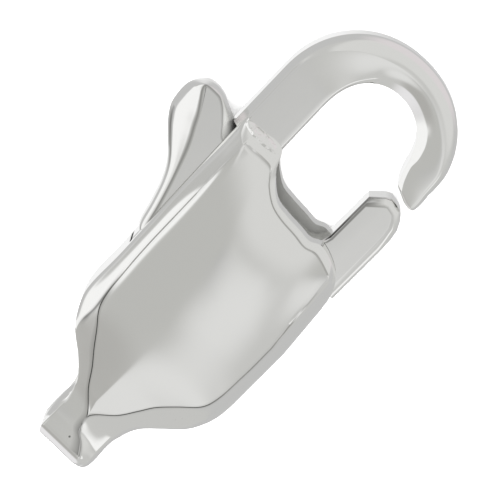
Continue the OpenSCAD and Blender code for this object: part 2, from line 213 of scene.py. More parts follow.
# Panels of the tent, from the first laid to the last: where its middle is seen from the clasp, how
# far it reaches and how wide its soft edge is, in degrees, and its colour.
TENT_PANELS = [
    # Beyond the clasp's upper edge, and beyond its lower edge.
    ((-0.60, 1.0, 0.50), 38, 12, (1.00, 1.00, 1.00)),
    ((-0.12, 1.0, 0.08), 11, 4, (0.54, 0.54, 0.53)),
    ((-0.26, -0.72, 0.64), 6, 3, (1.00, 1.00, 1.00)),
    ((-0.15, -0.74, 0.66), 7, 4, (1.00, 1.00, 1.00)),
    ((-0.02, -0.69, 0.72), 6.5, 3, (1.00, 1.00, 1.00)),
    # Overhead, where the flat faces look, and to the left and right of that.
    ((-0.15, 0.203, 1.0), 24, 9, (0.535, 0.535, 0.52)),
    ((-1.10, 0.05, 1.0), 17, 8, (0.46, 0.455, 0.44)),
    ((-0.128, -0.115, 0.985), 3, 2.5, (0.50, 0.50, 0.495)),
    ((-0.157, -0.285, 0.945), 7.5, 7, (0.78, 0.78, 0.775)),
    ((-0.48, -0.30, 0.83), 8, 6, (0.79, 0.79, 0.785)),
    ((1.0, -0.05, 0.60), 53, 9, (0.72, 0.72, 0.71)),
    # The lower half, which only walls and undersides mirror.
    ((0.0, 0.0, -1.0), 84, 5, (0.57, 0.57, 0.57)),
    ((1.0, -0.1, -0.35), 36, 12, (0.76, 0.72, 0.735)),
    ((-1.0, 0.0, -0.09), 32, 8, (0.88, 0.87, 0.89)),
    ((-0.714, 0.444, -0.517), 14, 7, (0.30, 0.30, 0.29)),
    ((-0.50, -0.1, -0.87), 10, 5, (0.48, 0.48, 0.47)),
    ((-0.157, 0.113, -0.981), 16, 6, (0.95, 0.95, 0.95)),
]
world = bpy.data.worlds.new("light tent")
bpy.context.scene.world = world
world.use_nodes = True
tent = world.node_tree
direction = tent.nodes.new("ShaderNodeTexCoord").outputs["Generated"]
colour = (*TENT_BASE, 1)
for middle, reach, edge, panel_colour in TENT_PANELS:
    aim = Vector(middle).normalized()
    turn = add_node(tent, "ShaderNodeVectorMath", direction, aim, operation="DOT_PRODUCT")
    outer = math.cos(math.radians(reach + edge))
    inner = math.cos(math.radians(max(reach - edge, 0)))
    mask = ranged(tent, turn.outputs["Value"], outer, inner, 0.0, 1.0, "SMOOTHSTEP")
    colour = layered(tent, mask, colour, (*panel_colour, 1))
background = tent.nodes["Background"]
tent.links.new(colour, background.inputs["Color"])
background.inputs["Strength"].default_value = 1.0
print("tent panels:", len(TENT_PANELS))

# %% Floor lamp
lamp = bpy.data.lights.new("floor lamp", "AREA")
lamp.size = 0.3
lamp.energy = 5.0
lamp_object = bpy.data.objects.new("floor lamp", lamp)
lamp_object.location = (0.0, 0.05, 0.4)
lamp_object.visible_glossy = False
bpy.context.scene.collection.objects.link(lamp_object)
print("floor lamp:", lamp.energy, "W,", lamp.size, "m wide")

# %% [markdown]
# ## Helpers for cast shapes
# A casting has long curved faces that end in crisp creases. A grid primitive suits it: its columns run
# along the casting and its rows run round the section, so a row can be laid exactly on each crease.
# The points come from short tables in millimetres, read smoothly between their rows. Everything is
# modelled with one unit to the millimetre, because Blender's merge and bevel tools are made for
# metres and lose a casting this small, and each piece is brought to metres at the end.

# %% Reading a table smoothly
def lookup(table, x, column):
    """A column of a table at x, on a smooth curve through its rows."""
    i = 0
    while i < len(table) - 2 and x >= table[i + 1][0]:
        i += 1

    def slope(k):
        a, b = max(k - 1, 0), min(k + 1, len(table) - 1)
        return (table[b][column] - table[a][column]) / (table[b][0] - table[a][0])

    h = table[i + 1][0] - table[i][0]
    s = min(max((x - table[i][0]) / h, 0), 1)
    return ((1 + 2 * s) * (1 - s) ** 2 * table[i][column] + s * (1 - s) ** 2 * h * slope(i)
            + s * s * (3 - 2 * s) * table[i + 1][column] + s * s * (s - 1) * h * slope(i + 1))


def lookup_soft(table, x, column, blur):
    """The same, blurred along the table, so that no reflection breaks at a row."""
    weights = [(k / 4, math.exp(-2.0 * (k / 4) ** 2)) for k in range(-4, 5)]
    total = sum(w for k, w in weights)
    return sum(w * lookup(table, x + k * blur, column) for k, w in weights) / total


def mix(a, b, s):
    """From a to b by the share s."""
    return a + (b - a) * s


def ease(s, a=0.0, b=1.0):
    """0 up to a, 1 from b on, and a soft step between them."""
    s = min(max((s - a) / (b - a), 0), 1)
    return s * s * (3 - 2 * s)


def steps(count):
    """The shares from 0 to 1 in so many steps."""
    return [i / count for i in range(count + 1)]


print("a soft step:", [round(ease(s), 3) for s in steps(4)])

# %% A tube made of one grid
bpy.context.tool_settings.mesh_select_mode = (False, True, False)


def select_only(piece):
    """Select one piece and make it the active one."""
    bpy.ops.object.select_all(action="DESELECT")
    piece.select_set(True)
    bpy.context.view_layer.objects.active = piece


def tube(name, rings):
    """A grid wrapped into a tube through closed rings of points, given in millimetres."""
    columns, rows = len(rings), len(rings[0])
    bpy.ops.mesh.primitive_grid_add(x_subdivisions=columns - 1, y_subdivisions=rows, size=1)
    piece = bpy.context.object
    piece.name = name
    for vertex in piece.data.vertices:
        c = round((vertex.co.x + 0.5) * (columns - 1))
        r = round((vertex.co.y + 0.5) * rows) % rows
        vertex.co = Vector(rings[c][r])
    bpy.ops.object.mode_set(mode="EDIT")
    bpy.ops.mesh.select_all(action="SELECT")
    bpy.ops.mesh.remove_doubles(threshold=1e-6)
    bpy.ops.mesh.select_all(action="DESELECT")
    bpy.ops.object.mode_set(mode="OBJECT")
    return piece


# %% Closing a mesh
def fill_ends(piece):
    """Close the flat ends of a tube with one face each."""
    select_only(piece)
    bpy.ops.object.mode_set(mode="EDIT")
    bpy.ops.mesh.select_non_manifold(extend=False, use_wire=False, use_multi_face=False,
                                     use_non_contiguous=False, use_verts=False)
    bpy.ops.mesh.edge_face_add()
    point_outwards()
    bpy.ops.object.mode_set(mode="OBJECT")


def point_outwards():
    """Make all faces of the open mesh look outwards, which a closed shape's volume proves."""
    bpy.ops.mesh.select_all(action="SELECT")
    bpy.ops.mesh.normals_make_consistent(inside=False)
    if bmesh.from_edit_mesh(bpy.context.object.data).calc_volume(signed=True) < 0:
        bpy.ops.mesh.flip_normals()
    bpy.ops.mesh.select_all(action="DESELECT")


def closed(piece):
    """Say whether a mesh is closed, and how much it holds."""
    shape = bmesh.new()
    shape.from_mesh(piece.data)
    loose = sum(len(edge.link_faces) != 2 for edge in shape.edges)
    volume = shape.calc_volume(signed=True)
    shape.free()
    return f"{loose} open edges, volume {volume:.2f} mm3"


# %% Cutting and joining
def carve(piece, tool, operation="DIFFERENCE"):
    """Cut one closed shape with another, or join them, and drop the tool."""
    select_only(piece)
    cut = piece.modifiers.new("cut", "BOOLEAN")
    cut.operation = operation
    cut.solver = "EXACT"
    cut.object = tool
    bpy.ops.object.modifier_apply(modifier=cut.name)
    bpy.data.objects.remove(tool)


def slab(name, outline, low, high):
    """A flat outline in X and Y, drawn up from one height to another, in millimetres."""
    bpy.ops.mesh.primitive_circle_add(vertices=len(outline), radius=1, fill_type="NGON")
    piece = bpy.context.object
    piece.name = name
    for vertex, (x, y) in zip(piece.data.vertices, outline):
        vertex.co = Vector((x, y, low))
    bpy.ops.object.mode_set(mode="EDIT")
    bpy.ops.mesh.select_all(action="SELECT")
    bpy.ops.mesh.extrude_region_move(TRANSFORM_OT_translate={"value": (0, 0, high - low)})
    point_outwards()
    bpy.ops.object.mode_set(mode="OBJECT")
    return piece


# %% Shading of polished metal
# Edges from this angle on stay sharp, and large faces lead the shading by this weight.
SHARP_FROM = 32
FLATS_LEAD = 80


def polish_shading(piece):
    """Shade a piece smoothly between its sharp edges, led by its large faces."""
    print(piece.name, closed(piece))
    select_only(piece)
    bpy.ops.object.shade_smooth()
    bpy.ops.object.shade_smooth_by_angle(angle=math.radians(SHARP_FROM))
    flats = piece.modifiers.new("flats", "WEIGHTED_NORMAL")
    flats.keep_sharp = True
    flats.weight = FLATS_LEAD
    bpy.ops.object.modifier_apply(modifier=flats.name)
    print(piece.name, "has", len(piece.data.polygons), "faces")


# %% [markdown]
# ## Body: the two cheeks and the tail
# The body is one casting. A square tail with a hole swells into two flat cheeks, each with a crowned
# panel inside a creased, rounded border. One table holds what the casting does along its length. The
# section between its rows is drawn with curves that leave each corner at a stated tilt, because
# it is the tilt of the metal, more than its place, that decides what it mirrors.

# %% Sizes of the body
BODY_L = 10.25
BODY_UP = 3.08
BODY_DOWN = 2.77
TAIL_END = -1.1
TAIL_ROUND = 0.38
BACK_REACH = 0.26
FLANK_END = 5.74
# Per place along the body: the place itself, the upper and the lower edge, the upper and the lower
# crease, the height of the upper and the lower rim, and the height of the crease and the crown.
PLACE, UP, LOW, CREASE_UP, CREASE_LOW, RIM_UP, RIM_LOW, CREASE, CROWN = range(9)
EDGES = [
    (-0.880, 0.940, -0.996, -0.545, -0.651, 1.07, 0.84, 1.100, 1.100),
    (-0.600, 0.940, -1.010, -0.360, -0.470, 1.07, 0.78, 1.100, 1.100),
    (-0.374, 0.940, -1.015, -0.188, -0.289, 1.07, 0.69, 1.100, 1.100),
    (-0.176, 0.940, -1.015, 0.056, -0.040, 1.07, 0.68, 1.100, 1.106),
    (0.359, 0.951, -1.050, 0.190, 0.103, 1.06, 0.67, 1.109, 1.124),
    (1.005, 1.197, -1.280, 0.754, -0.504, 1.08, 0.74, 1.166, 1.230),
    (1.548, 1.719, -1.790, 1.117, -0.850, 1.11, 0.78, 1.226, 1.328),
    (1.999, 2.267, -2.275, 1.473, -1.129, 1.12, 0.76, 1.274, 1.400),
    (2.501, 2.620, -2.590, 1.834, -1.593, 0.93, 0.68, 1.334, 1.484),
    (3.096, 2.840, -2.761, 2.272, -2.153, 0.92, 0.66, 1.385, 1.568),
    (4.510, 2.870, -2.770, 2.468, -2.299, 1.03, 0.73, 1.400, 1.680),
    (5.740, 2.920, -2.770, 2.540, -2.299, 1.04, 0.73, 1.400, 1.700),
]
# At the same places: where the upper border folds, as a share of the way from crease to edge, and the
# tilt of its strip beside the crease; the tilts of the upper border at rim and fold and of the lower
# border at its band and crease, in degrees; the sharpness of the panel's ridge (1 is a roof, 2 a
# smooth crown), the edge's rounding, and the width and the tilt of the band along the lower edge.
FOLD, STRIP, UP_RIM_TILT, UP_FOLD_TILT, LOW_BAND_TILT, LOW_CREASE_TILT = range(9, 15)
RIDGE, ROUND, BAND, BAND_TILT = range(15, 19)
TILTS = [
    (0.94, 1, 30, 12, 24, 4, 2.00, 0.20, 0.12, 48),
    (0.94, 1, 30, 12, 22, 6, 2.00, 0.20, 0.14, 48),
    (0.94, 1, 30, 12, 22, 18, 2.00, 0.20, 0.15, 47),
    (0.94, 1, 30, 12, 21, 18, 1.80, 0.20, 0.15, 46),
    (0.94, 4, 30, 12, 20, 17, 1.50, 0.18, 0.16, 46),
    (0.94, 9, 30, 14, 20, 17, 1.15, 0.14, 0.17, 50),
    (0.94, 10, 30, 16, 19, 15, 1.15, 0.12, 0.17, 52),
    (0.93, 11, 40, 26, 19, 15, 1.25, 0.12, 0.18, 54),
    (0.60, 11, 60, 30, 31, 20, 1.45, 0.12, 0.18, 56),
    (0.07, 16, 62, 28, 54, 41, 1.75, 0.12, 0.15, 60),
    (0.05, 25, 62, 27, 58, 47, 2.00, 0.12, 0.12, 62),
    (0.05, 25, 62, 27, 58, 47, 2.10, 0.12, 0.12, 62),
]
STATIONS = [at_edges + at_tilts for at_edges, at_tilts in zip(EDGES, TILTS)]
# The same at the throat, for the two borders only.
THROAT_STATION = ((9.300, 3.070, -2.590, 2.620, -2.030, 0.86, 0.73, 1.400, 1.460)
                  + (0.05, 50, 58, 50, 58, 50, 2.10, 0.12, 0.12, 62))
print("body:", len(STATIONS), "places of", len(STATIONS[0]), "measures")

# %% Rows round the section
# Each row is told by its side, its zone on that side and its share of that zone.
WALL = [("wall", s) for s in (0.3, 0.7, 1.0)]
EDGE = [("edge", s) for s in (0.2, 0.4, 0.6, 0.8)]
BORDER = [("border", s) for s in steps(16)[1:]]
GROOVE = [("groove", s) for s in (0.25, 0.5, 0.75)]
PANEL = [("panel", s) for s in steps(56)]
SIDE = WALL + EDGE + [("border", 0.0)] + BORDER + GROOVE
ROWS = ([("up", *row) for row in SIDE] + [("face", *row) for row in PANEL]
        + [("low", *row) for row in reversed(SIDE)])
UP_FOLD_ROW = 0.75
GROOVE_WIDE = 0.035
GROOVE_DEEP = 0.03
print(len(ROWS), "rows round the front half")

# %% Curves of the section
def curve_point(a, b, tilt_a, tilt_b, s):
    """Along a curve from rim a to crease b, both (y, z), that has the stated tilt at its ends."""
    (ay, az), (by, bz) = a, b
    reach = math.hypot(by - ay, bz - az)
    side = -1 if by < ay else 1
    ta = (side * math.cos(math.radians(tilt_a)) * reach, math.sin(math.radians(tilt_a)) * reach)
    tb = (side * math.cos(math.radians(tilt_b)) * reach, math.sin(math.radians(tilt_b)) * reach)
    h = ((1 + 2 * s) * (1 - s) ** 2, s * (1 - s) ** 2, s * s * (3 - 2 * s), s * s * (s - 1))
    return (h[0] * ay + h[1] * ta[0] + h[2] * by + h[3] * tb[0],
            h[0] * az + h[1] * ta[1] + h[2] * bz + h[3] * tb[1])


# Where the panel's ridge lies and how soft it is; and how wide and high its upper margin rolls in,
# and between which places the roll starts and ends.
RIDGE_Y = 0.29
RIDGE_SOFT = 0.0006
ROLL_WIDE = 0.26
ROLL_HIGH = 0.048
ROLL_STARTS, ROLL_ENDS = (2.8, 4.2), (6.8, 8.0)


def panel_height(x, y, up, low, crease, crown, ridge):
    """Height of the crowned panel: its ridge lies near the middle, and its upper margin rolls in."""
    middle = min(max(RIDGE_Y, (2 * low + up) / 3), (low + 2 * up) / 3)
    u = (y - middle) / (up - middle) if y > middle else (middle - y) / (middle - low)
    u = min(max(u, 0), 1)
    roof = max(1 - (u * u + RIDGE_SOFT) ** (ridge / 2), 0)
    if y < middle:
        return crease + (crown - crease) * roof
    roll = ROLL_HIGH * ease(x, *ROLL_STARTS) * (1 - ease(x, *ROLL_ENDS))
    rolled = 1 - (1 - min((up - y) / ROLL_WIDE, 1)) ** 2
    return crease + roll * rolled + (crown - crease - roll) * roof


# %% The body's measures at a place
# How far the table is blurred: by so much at least, and by so much more where the body has grown
# broad, for its edges and for its panel.
LEAST_BLUR, EDGE_BLUR, PANEL_BLUR = 0.04, 0.30, 0.80
stations_read = {}


def station(x):
    """The table's measures at x, blurred most where the panel is broad."""
    if x not in stations_read:
        narrow = LEAST_BLUR + EDGE_BLUR * ease(x, 1.5, 3.5)
        wide = LEAST_BLUR + PANEL_BLUR * ease(x, 0.6, 3.2)
        blurs = [wide if c in (CREASE, CROWN, RIDGE) else narrow for c in range(len(STATIONS[0]))]
        stations_read[x] = [x] + [lookup_soft(STATIONS, x, c, blurs[c]) for c in range(1, len(blurs))]
    return stations_read[x]


print("the body at x = 5 mm is", round(station(5.0)[UP] - station(5.0)[LOW], 3), "mm across")


# %% A point of the border
# The least width of a border, and how much less it draws in than it sinks where the tail's end is
# rounded.
LEAST_BORDER = 0.09
CORNER_FULL = 0.5


def border_point(at, row, inset=0.0):
    """Place and height of a row outside the panel, as (y, z)."""
    side, zone, s = row
    crease, r = at[CREASE] - inset, at[ROUND]
    narrow = inset * CORNER_FULL
    if side == "up":
        edge, line = at[UP] - narrow, min(at[CREASE_UP], at[UP] - narrow - LEAST_BORDER)
        rim, sign = at[RIM_UP] - inset, 1
        fold_z = crease - at[FOLD] * (edge - line) * math.tan(math.radians(at[STRIP]))
        fold = mix(line, edge, at[FOLD]), fold_z
        tilts = at[UP_RIM_TILT], at[UP_FOLD_TILT]
        share, near, outer = UP_FOLD_ROW, min(r / 2.2, 0.8), (edge, rim)
    else:
        edge, line = at[LOW] + narrow, max(at[CREASE_LOW], at[LOW] + narrow + LEAST_BORDER)
        rim, sign = at[RIM_LOW] - inset, -1
        band = min(at[BAND], (line - edge) * 0.5)
        band_z = rim + band * math.tan(math.radians(at[BAND_TILT]))
        fold, tilts = (line, crease), (at[LOW_BAND_TILT], at[LOW_CREASE_TILT])
        share, near, outer = 1.0, 0.0, (edge + band, min(band_z, crease - 0.01))
    corner = curve_point(outer, fold, *tilts, near)
    if zone == "wall":
        return edge, (rim - r) * s
    if zone == "edge":
        a, b, c = (1 - s) ** 2, 2 * s * (1 - s), s * s
        return a * edge + b * edge + c * corner[0], a * (rim - r) + b * rim + c * corner[1]
    if zone == "border" and s <= share:
        return curve_point(outer, fold, *tilts, mix(near, 1, s / share))
    if zone == "border":
        t = (s - share) / (1 - share)
        return mix(fold[0], line, t), mix(fold[1], crease, t)
    deep = GROOVE_DEEP * math.sin(math.pi * s) * ease(at[PLACE], -0.3, 0.6)
    return line - sign * GROOVE_WIDE * s, crease - deep


print("upper crease at x = 5 mm:", [round(v, 3) for v in border_point(station(5.0), ("up", "border", 1.0))])


# %% A point of the section
LEAST_PANEL = 0.02


def section(x, row, inset=0.0):
    """A point of the body's skin: x along it, and a row round it; inset sinks it at the tail's end."""
    side, zone, s = row
    at = station(x)
    if side != "face":
        return (x, *border_point(at, row, inset))
    narrow = inset * CORNER_FULL
    up = min(at[CREASE_UP], at[UP] - narrow - LEAST_BORDER) - GROOVE_WIDE
    low = max(at[CREASE_LOW], at[LOW] + narrow + LEAST_BORDER) + GROOVE_WIDE
    if up - low < LEAST_PANEL:
        up, low = (up + low) / 2 + LEAST_PANEL / 2, (up + low) / 2 - LEAST_PANEL / 2
    y = mix(up, low, s)
    crease = at[CREASE] - inset
    return x, y, panel_height(x, y, up, low, crease, max(at[CROWN] - inset, crease), at[RIDGE])


print("middle of the panel at x = 5 mm:", [round(v, 3) for v in section(5.0, ("face", "panel", 0.5))])

# %% [markdown]
# The cheeks end at the throat, where the eye of the clasp begins. Their end is a second table: for
# rows from the upper edge to the lower one it gives the crease where the panel stops, the rim beyond
# it, and how much further the back cheek reaches.

# %% Where the cheeks end
# Crease and rim, each as x in body lengths and y in upper or lower body widths, the rim's height as a
# share of the crease's, and the share of the back cheek's extra reach.
THROAT = [
    (0.955, 0.997, 0.990, 1.000, 0.70, 0.0),
    (0.942, 0.925, 0.991, 0.920, 0.71, 0.0),
    (0.930, 0.851, 0.993, 0.828, 0.72, 0.0),
    (0.926, 0.747, 0.996, 0.731, 0.73, 0.0),
    (0.928, 0.617, 1.000, 0.617, 0.75, 0.0),
    (0.924, 0.487, 0.990, 0.523, 0.82, 0.1),
    (0.890, 0.377, 0.927, 0.406, 0.86, 0.5),
    (0.859, 0.227, 0.878, 0.227, 0.89, 0.9),
    (0.846, 0.065, 0.867, 0.065, 0.89, 1.0),
    (0.841, -0.144, 0.863, -0.152, 0.89, 1.0),
    (0.835, -0.307, 0.860, -0.296, 0.89, 1.0),
    (0.843, -0.469, 0.874, -0.433, 0.88, 0.9),
    (0.820, -0.733, 0.859, -0.635, 0.86, 0.6),
    (0.794, -0.825, 0.831, -0.795, 0.82, 0.3),
    (0.755, -0.935, 0.785, -0.905, 0.78, 0.0),
]
THROAT_ROWS = [(i, *row) for i, row in enumerate(THROAT)]
# Between which rows of the table the panel lies, the crease's height, how far the panel sags at its
# end, and how evenly it falls from there to the rim.
PANEL_KEYS = (2.16, 11.84)
THROAT_CREASE = 1.4
THROAT_SAG = 0.08
FALL_POWER = 1.8
print("throat:", len(THROAT), "rows")


# %% A point of the throat
def throat_key(row):
    """Where a row of the section stands among the rows of the throat table."""
    side, zone, s = row
    if side == "face":
        return mix(*PANEL_KEYS, s)
    y = border_point(THROAT_STATION, row)[0]
    sides = (UP, CREASE_UP) if side == "up" else (LOW, CREASE_LOW)
    edge, line = (THROAT_STATION[c] for c in sides)
    key = max(2 * (edge - y) / (edge - line), 0)
    return key if side == "up" else len(THROAT) - 1 - key


def in_body(x, y):
    """From shares of the body's length and half width to millimetres."""
    return x * BODY_L, y * (BODY_UP if y > 0 else BODY_DOWN)


def throat_point(row, beyond, groove=0.0):
    """A point of the throat: beyond is 0 at the panel's crease and 1 at the rim."""
    k = throat_key(row)
    face = in_body(lookup(THROAT_ROWS, k, 1), lookup(THROAT_ROWS, k, 2))
    rim = in_body(lookup(THROAT_ROWS, k, 3), lookup(THROAT_ROWS, k, 4))
    rim_z = lookup(THROAT_ROWS, k, 5) * THROAT_CREASE
    if row[0] == "face":
        face_z = THROAT_CREASE - THROAT_SAG * ease(row[2], 0.0, 0.12) * ease(1 - row[2], 0.0, 0.12)
    elif row[1] == "groove":
        face_z = THROAT_CREASE
    else:
        face_z = border_point(THROAT_STATION, row)[1]
        rim_z = min(rim_z, face_z)
    fall = mix(beyond, beyond ** FALL_POWER, 0.6)
    reach = BACK_REACH * min(max(lookup(THROAT_ROWS, k, 6), 0), 1)
    dip = GROOVE_DEEP * groove * (1 if row[0] == "face" else 0)
    x, y = mix(face[0], rim[0], beyond), mix(face[1], rim[1], beyond)
    return x, y, mix(face_z, rim_z, fall) - dip, reach


print("middle of the panel's end:", [round(v, 3) for v in throat_point(("face", "panel", 0.5), 0.0)])

# %% The columns of the body
TAIL_COLUMNS = [math.radians(a) for a in (0, 12, 24, 36, 48, 60, 72, 81)]
LENGTH_COLUMNS = 120
CHEEK_COLUMNS = 60
THROAT_COLUMNS = 12
PANEL_FALL = 3
# The groove along the panel's end: how far beyond the crease, and its depth as a share.
THROAT_GROOVE = ((0.05, 0.7), (0.10, 1.0), (0.15, 0.7), (0.20, 0.0))
start = TAIL_END + TAIL_ROUND
columns = []
for a in TAIL_COLUMNS:
    inset = TAIL_ROUND * (1 - math.sin(a))
    place = TAIL_END + TAIL_ROUND * (1 - math.cos(a))
    columns.append([(place, *section(start, row, inset)[1:], 0.0) for row in ROWS])
for s in steps(LENGTH_COLUMNS):
    columns.append([(*section(mix(start, FLANK_END, s), row), 0.0) for row in ROWS])
flank = columns[-1]
cheek_ends = [throat_point(row, 0.0) for row in ROWS]
for s in steps(CHEEK_COLUMNS)[1:]:
    column = []
    for row, near, far in zip(ROWS, flank, cheek_ends):
        turn = s ** PANEL_FALL if row[0] == "face" else ease(s, 0.15, 0.85)
        x, y, z = mix(near[0], far[0], s), mix(near[1], far[1], s), mix(near[2], far[2], turn)
        column.append((x, y, z, s * s * far[3]))
    columns.append(column)
cheek_end = len(columns) - 1
for s, groove in THROAT_GROOVE:
    columns.append([throat_point(row, s, groove) for row in ROWS])
deepest = max(range(len(THROAT_GROOVE)), key=lambda i: THROAT_GROOVE[i][1])
throat_groove = columns[cheek_end + 1 + deepest]
for s in steps(THROAT_COLUMNS)[1:]:
    columns.append([throat_point(row, mix(THROAT_GROOVE[-1][0], 1.0, s)) for row in ROWS])


def both_sides(column):
    """A whole ring: the front half, and the back half mirrored, with the back cheek's extra reach."""
    front = [(x, y, z) for x, y, z, reach in column]
    back = [(x + reach, y, -z) for x, y, z, reach in column]
    return front + back[::-1]


body = tube("clasp_body", [both_sides(column) for column in columns])
print("body grid:", len(columns), "columns of", 2 * len(ROWS), "points")

# %% Closing the body's two ends
# Round the throat run two chains of open edges, one along each cheek. Bridging them makes the end
# wall between the cheeks. The tail's end is closed with one face.
select_only(body)
throat_from = BODY_L * 0.7
mesh = body.data
edge_use = {}
for polygon in mesh.polygons:
    for key in polygon.edge_keys:
        edge_use[key] = edge_use.get(key, 0) + 1
for edge in mesh.edges:
    a, b = (mesh.vertices[i].co for i in edge.vertices)
    is_open = edge_use.get(edge.key, 0) == 1
    edge.select = is_open and a.x > throat_from and a.z * b.z > 0
bpy.ops.object.mode_set(mode="EDIT")
bpy.ops.mesh.bridge_edge_loops()
bpy.ops.object.mode_set(mode="OBJECT")
fill_ends(body)
print("body skin has", len(mesh.polygons), "faces")

# %% [markdown]
# ## Hook
# The hook is one bar swept round the eye. At its root its front is flat, with a chamfer outside. In the
# bend it is crowned, rounded outside and bevelled inside. A curve with a bevel could sweep only one
# section, so both sections are drawn here and mixed on the way. The bar gets slimmer through the bend
# and ends in a nose, which is cut on an arc about the pivot, so that the gate passes it.

# %% Sizes of the hook
# Where the hook starts and how high its centre line lies; the middle and half sizes of the bend, and
# how far it turns; and how much fuller than an ellipse it is.
HOOK_FROM = 0.95 * BODY_L
HOOK_TOP = 2.46
HOOK_RISE = 0.05
BEND = (12.05, 0.26)
BEND_X = 2.26
BEND_Y = 2.22
BEND_TURN = 164
BEND_POWER = 0.95
ROOT_WIDE, WIRE_WIDE = 1.6, 1.22
ROOT_THICK, WIRE_THICK = 2.0, 1.6
END_REACH = 5.68
PIVOT = (pivot.x, pivot.y)
ROOT_STEPS, BEND_STEPS, NOSE_STEPS = 30, 110, 24
# Along the nose, as a share of its way: how much narrower the bar is, and how far it has dropped.
NOSE = [(0.0, 0.0, 0.0), (0.30, 0.13, 0.077), (0.55, 0.33, 0.20), (0.72, 0.42, 0.22), (0.85, 0.46, 0.22),
        (1.0, 0.50, 0.22)]
# How many points on each side of the joint between bend and nose are worn round, and how often.
WORN_POINTS = 8
WORN_TIMES = 12
print("the hook's bar is", ROOT_WIDE, "mm wide at its root and", WIRE_WIDE, "mm in the bend")


# %% Centre line of the hook
def fuller(c):
    """A sine or cosine, pushed outwards a little."""
    return math.copysign(abs(c) ** BEND_POWER, c)


def on_bend(turn):
    """A point of the bend's centre line, turn degrees on from its top."""
    a = math.radians(90 - turn)
    high = HOOK_TOP - BEND[1] if a > 0 else BEND_Y
    return BEND[0] + BEND_X * fuller(math.cos(a)), BEND[1] + high * fuller(math.sin(a))


bend_out = on_bend(BEND_TURN)
nose_y = bend_out[1] - WIRE_WIDE / 2
nose_x = PIVOT[0] + math.sqrt(END_REACH ** 2 - (nose_y - PIVOT[1]) ** 2) - 0.25
# Each point is x, y and how far along the bend it lies, from 0 before it to 2 at the nose's end.
hook_line = [(mix(HOOK_FROM, BEND[0] - 0.1, s), HOOK_TOP - HOOK_RISE * (1 - s), 0.0)
             for s in steps(ROOT_STEPS)]
hook_line += [(*on_bend(BEND_TURN * s), s) for s in steps(BEND_STEPS)]
bend_last = len(hook_line) - 1
hook_line += [(mix(bend_out[0], nose_x, s), bend_out[1] - lookup(NOSE, s, 2), 1.0 + s)
              for s in steps(NOSE_STEPS)[1:]]
worn = range(bend_last - WORN_POINTS, bend_last + WORN_POINTS + 1)
for _ in range(WORN_TIMES):
    smooth = [tuple((a + 2 * b + c) / 4 for a, b, c in zip(*hook_line[k - 1:k + 2])) for k in worn]
    hook_line[worn.start:worn.stop] = smooth
print("hook line:", len(hook_line), "points")


# %% Sections of the hook
def root_section(w, h):
    """Half of the bar's section at its root, from outside to inside, as (outwards, up), for half a
    width and half a thickness: flat in front, with a chamfer along its outer edge."""
    chamfer, drop, r = 0.27, 0.46, 0.13
    points = [(w, h * s) for s in (0.15, 0.3, 0.4)] + [(w, h - drop - 0.03)]
    for s in steps(13):
        swell = 0.04 * math.sin(math.pi * s) ** 2
        points.append((w - chamfer * s ** 1.15, h - drop * (1 - s) + swell))
    points += [(mix(w - chamfer - 0.03, r - w, s), h) for s in steps(15)]
    for s in steps(9):
        a = math.radians(90 * s)
        points.append((-w + r * (1 - math.sin(a)), h - r * (1 - math.cos(a))))
    return points + [(-w, h * s) for s in (0.6, 0.4, 0.15)]


def bend_section(w, h, inner, fall, flat):
    """The same in the bend, with as many points: inner is the width of the flat bevel along its inner
    edge, fall is how far its crown drops towards that bevel, and flat is the share of the half width
    at which its outer rounding ends."""
    top, low, bevel = flat * w, 0.35 * h, 0.62
    points = [(w, h * s) for s in (0.08, 0.16, 0.25)] + [(w, low)]
    for s in steps(13):
        a = math.radians(mix(4, 90, s))
        out = (w - top) * max(math.cos(a), 0) ** 0.85
        points.append((top + out, low + (h - low) * math.sin(a) ** 0.85))
    points += [(mix(top - 0.02, inner - w, s), h - fall * s ** 1.6) for s in steps(15)]
    points += [(-w + inner * (1 - s), h - fall - inner * bevel * s) for s in steps(9)]
    return points + [(-w, (h - fall - inner * bevel) * s) for s in (0.85, 0.5, 0.15)]


print("points of a section:", len(root_section(0.8, 1.0)))

# %% Rings of the hook
# Shares of the bend between which its section turns from the root's to the bend's, its inner bevel
# widens and narrows again, and its crown flattens towards the nose; and by where it is slim.
CROWNS, WIDENS, NARROWS, FLATTENS = (0.04, 0.5), (0.25, 0.6), (0.85, 1.15), (0.75, 1.05)
SLIM_BY = 0.62


def hook_ring(i):
    """The bar's section at a point of its centre line."""
    x, y, share = hook_line[i]
    a = hook_line[max(i - 1, 0)]
    b = hook_line[min(i + 1, len(hook_line) - 1)]
    way = Vector((b[0] - a[0], b[1] - a[1])).normalized()
    out = Vector((-way.y, way.x))
    slim = ease(share / SLIM_BY)
    past = share - 1
    wide = mix(ROOT_WIDE, WIRE_WIDE, slim) - lookup_soft(NOSE, min(4 * past, past), 1, 0.15)
    thick = mix(ROOT_THICK, WIRE_THICK, slim) - 0.2 * max(past, 0) ** 2
    crowned, to_nose = ease(share, *CROWNS), ease(share, *FLATTENS)
    inner = mix(0.13, 0.30, ease(share, *WIDENS)) - 0.15 * ease(share, *NARROWS)
    inner = min(inner, wide * 0.35)
    fall, flat = 0.11 - 0.08 * to_nose, 0.15 + 0.4 * to_nose
    flat_ring = root_section(wide / 2, thick / 2)
    round_ring = bend_section(wide / 2, thick / 2, inner, fall, flat)
    front = []
    for (fu, fv), (bu, bv) in zip(flat_ring, round_ring):
        u, v = mix(fu, bu, crowned), mix(fv, bv, crowned)
        front.append(Vector((x + out.x * u, y + out.y * u, v)))
    return front + [Vector((p.x, p.y, -p.z)) for p in reversed(front)]


rings = [hook_ring(i) for i in range(len(hook_line))]
print("hook:", len(rings), "rings of", len(rings[0]), "points")


